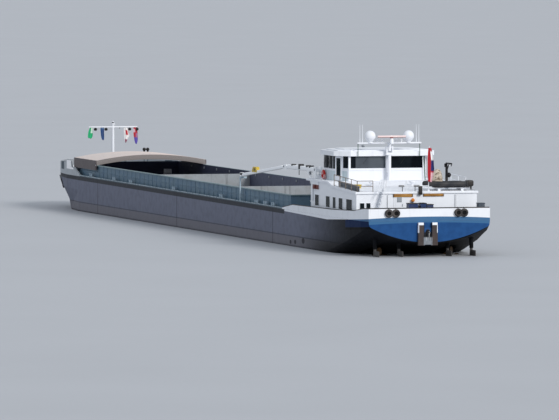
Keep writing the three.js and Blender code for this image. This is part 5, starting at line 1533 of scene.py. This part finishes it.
class BARGE_OT_stage(BargeOperator, bpy.types.Operator):
    """Lay the pale floor at the waterline and set lights and camera"""
    bl_idname = "barge.stage"
    bl_label = "Stage"

    # The camera's place in metres of the real vessel, and its angles in degrees
    eye = (-476.7, 150.9, 28.13)
    yaw, pitch, roll = -16.157, 2.66, 0.07
    lens = 393.7

    def execute(self, context):
        context.scene.view_settings.view_transform = "Standard"
        self.floor(context.scene.barge_sizes.floor)
        self.camera()
        self.lights()
        return {"FINISHED"}

    def floor(self, width):
        """A plane with a hole inside the hull, because the hold's floor lies below the water"""
        mesh = bmesh.new()
        far = width / 2
        corners = ((22.4, -5.15), (97.3, -5.15), (97.3, 5.15), (22.4, 5.15))
        hole = [place(s, y, 0) for s, y in corners]
        rim = [Vector((x, y, 0)) for x, y in ((-far, -far), (far, -far), (far, far), (-far, far))]
        inner = [mesh.verts.new(point) for point in hole]
        outer = [mesh.verts.new(point) for point in rim]
        for k in range(4):
            mesh.faces.new((outer[k], outer[(k + 1) % 4], inner[(k + 1) % 4], inner[k]))
        for vert in mesh.verts:
            s = vert.co.x / SCALE + MIDSHIP
            vert.co.z = (DRAUGHT["aft"] - DRAUGHT["rise"] * s) * SCALE
        add_object("studio_floor", mesh, studio_floor)

    def camera(self):
        yaw, pitch = math.radians(self.yaw), math.radians(self.pitch)
        ahead = Vector((math.cos(pitch) * math.cos(yaw), math.cos(pitch) * math.sin(yaw), -math.sin(pitch)))
        right = Vector((math.sin(yaw), -math.cos(yaw), math.sin(math.radians(self.roll)))).normalized()
        up = right.cross(ahead)
        lens = bpy.data.cameras.new("camera")
        lens.sensor_fit = "HORIZONTAL"
        lens.sensor_width = 36
        lens.lens = self.lens
        lens.clip_end = 1000
        camera = bpy.data.objects.new("camera", lens)
        bpy.context.scene.collection.objects.link(camera)
        turn = Matrix((right, up, -ahead)).transposed().to_4x4()
        camera.matrix_world = Matrix.Translation(place(*self.eye)) @ turn
        bpy.context.scene.camera = camera

    def lights(self):
        sun = bpy.data.lights.new("sun", "SUN")
        sun.energy = 2.25
        sun.angle = 0.32
        sun.color = (1.0, 0.97, 0.93)
        lamp = bpy.data.objects.new("sun", sun)
        lamp.matrix_world = Vector((-0.85, -0.35, 0.5)).to_track_quat("Z", "Y").to_matrix().to_4x4()
        bpy.context.scene.collection.objects.link(lamp)
        world = bpy.data.worlds.new("studio")
        world.use_nodes = True
        sky = world.node_tree.nodes["Background"]
        sky.inputs[0].default_value = (0.74, 0.79, 0.86, 1)
        sky.inputs[1].default_value = 0.8
        bpy.context.scene.world = world


PIECES = (
    BARGE_OT_hull, BARGE_OT_hold, BARGE_OT_side_decks, BARGE_OT_covers, BARGE_OT_bulwarks,
    BARGE_OT_stern, BARGE_OT_drive, BARGE_OT_foredeck, BARGE_OT_foremast, BARGE_OT_deckhouse,
    BARGE_OT_roof, BARGE_OT_wheelhouse, BARGE_OT_aft_mast, BARGE_OT_railings, BARGE_OT_flags,
    BARGE_OT_dinghy, BARGE_OT_davit, BARGE_OT_access, BARGE_OT_crane, BARGE_OT_stage,
)


class BARGE_PT_panel(bpy.types.Panel):
    """Lists the barge's settings and pieces"""
    bl_idname = "BARGE_PT_panel"
    bl_label = "River Cargo Barge"
    bl_space_type = "VIEW_3D"
    bl_region_type = "UI"
    bl_category = "Barge"

    def draw(self, context):
        for settings in (context.scene.barge_paint, context.scene.barge_sizes):
            for name in settings.bl_rna.properties.keys():
                if name not in ("rna_type", "name"):
                    self.layout.prop(settings, name)
        for piece in PIECES:
            self.layout.operator(piece.bl_idname)


CLASSES = (BargePaint, BargeSizes, *PIECES, BARGE_PT_panel)


def register():
    for cls in CLASSES:
        bpy.utils.register_class(cls)
    bpy.types.Scene.barge_paint = PointerProperty(type=BargePaint)
    bpy.types.Scene.barge_sizes = PointerProperty(type=BargeSizes)


def unregister():
    del bpy.types.Scene.barge_sizes
    del bpy.types.Scene.barge_paint
    for cls in reversed(CLASSES):
        bpy.utils.unregister_class(cls)


def main():
    register()
    for piece in PIECES:
        getattr(bpy.ops.barge, piece.bl_idname.split(".")[1])()


if __name__ == "__main__":
    main()
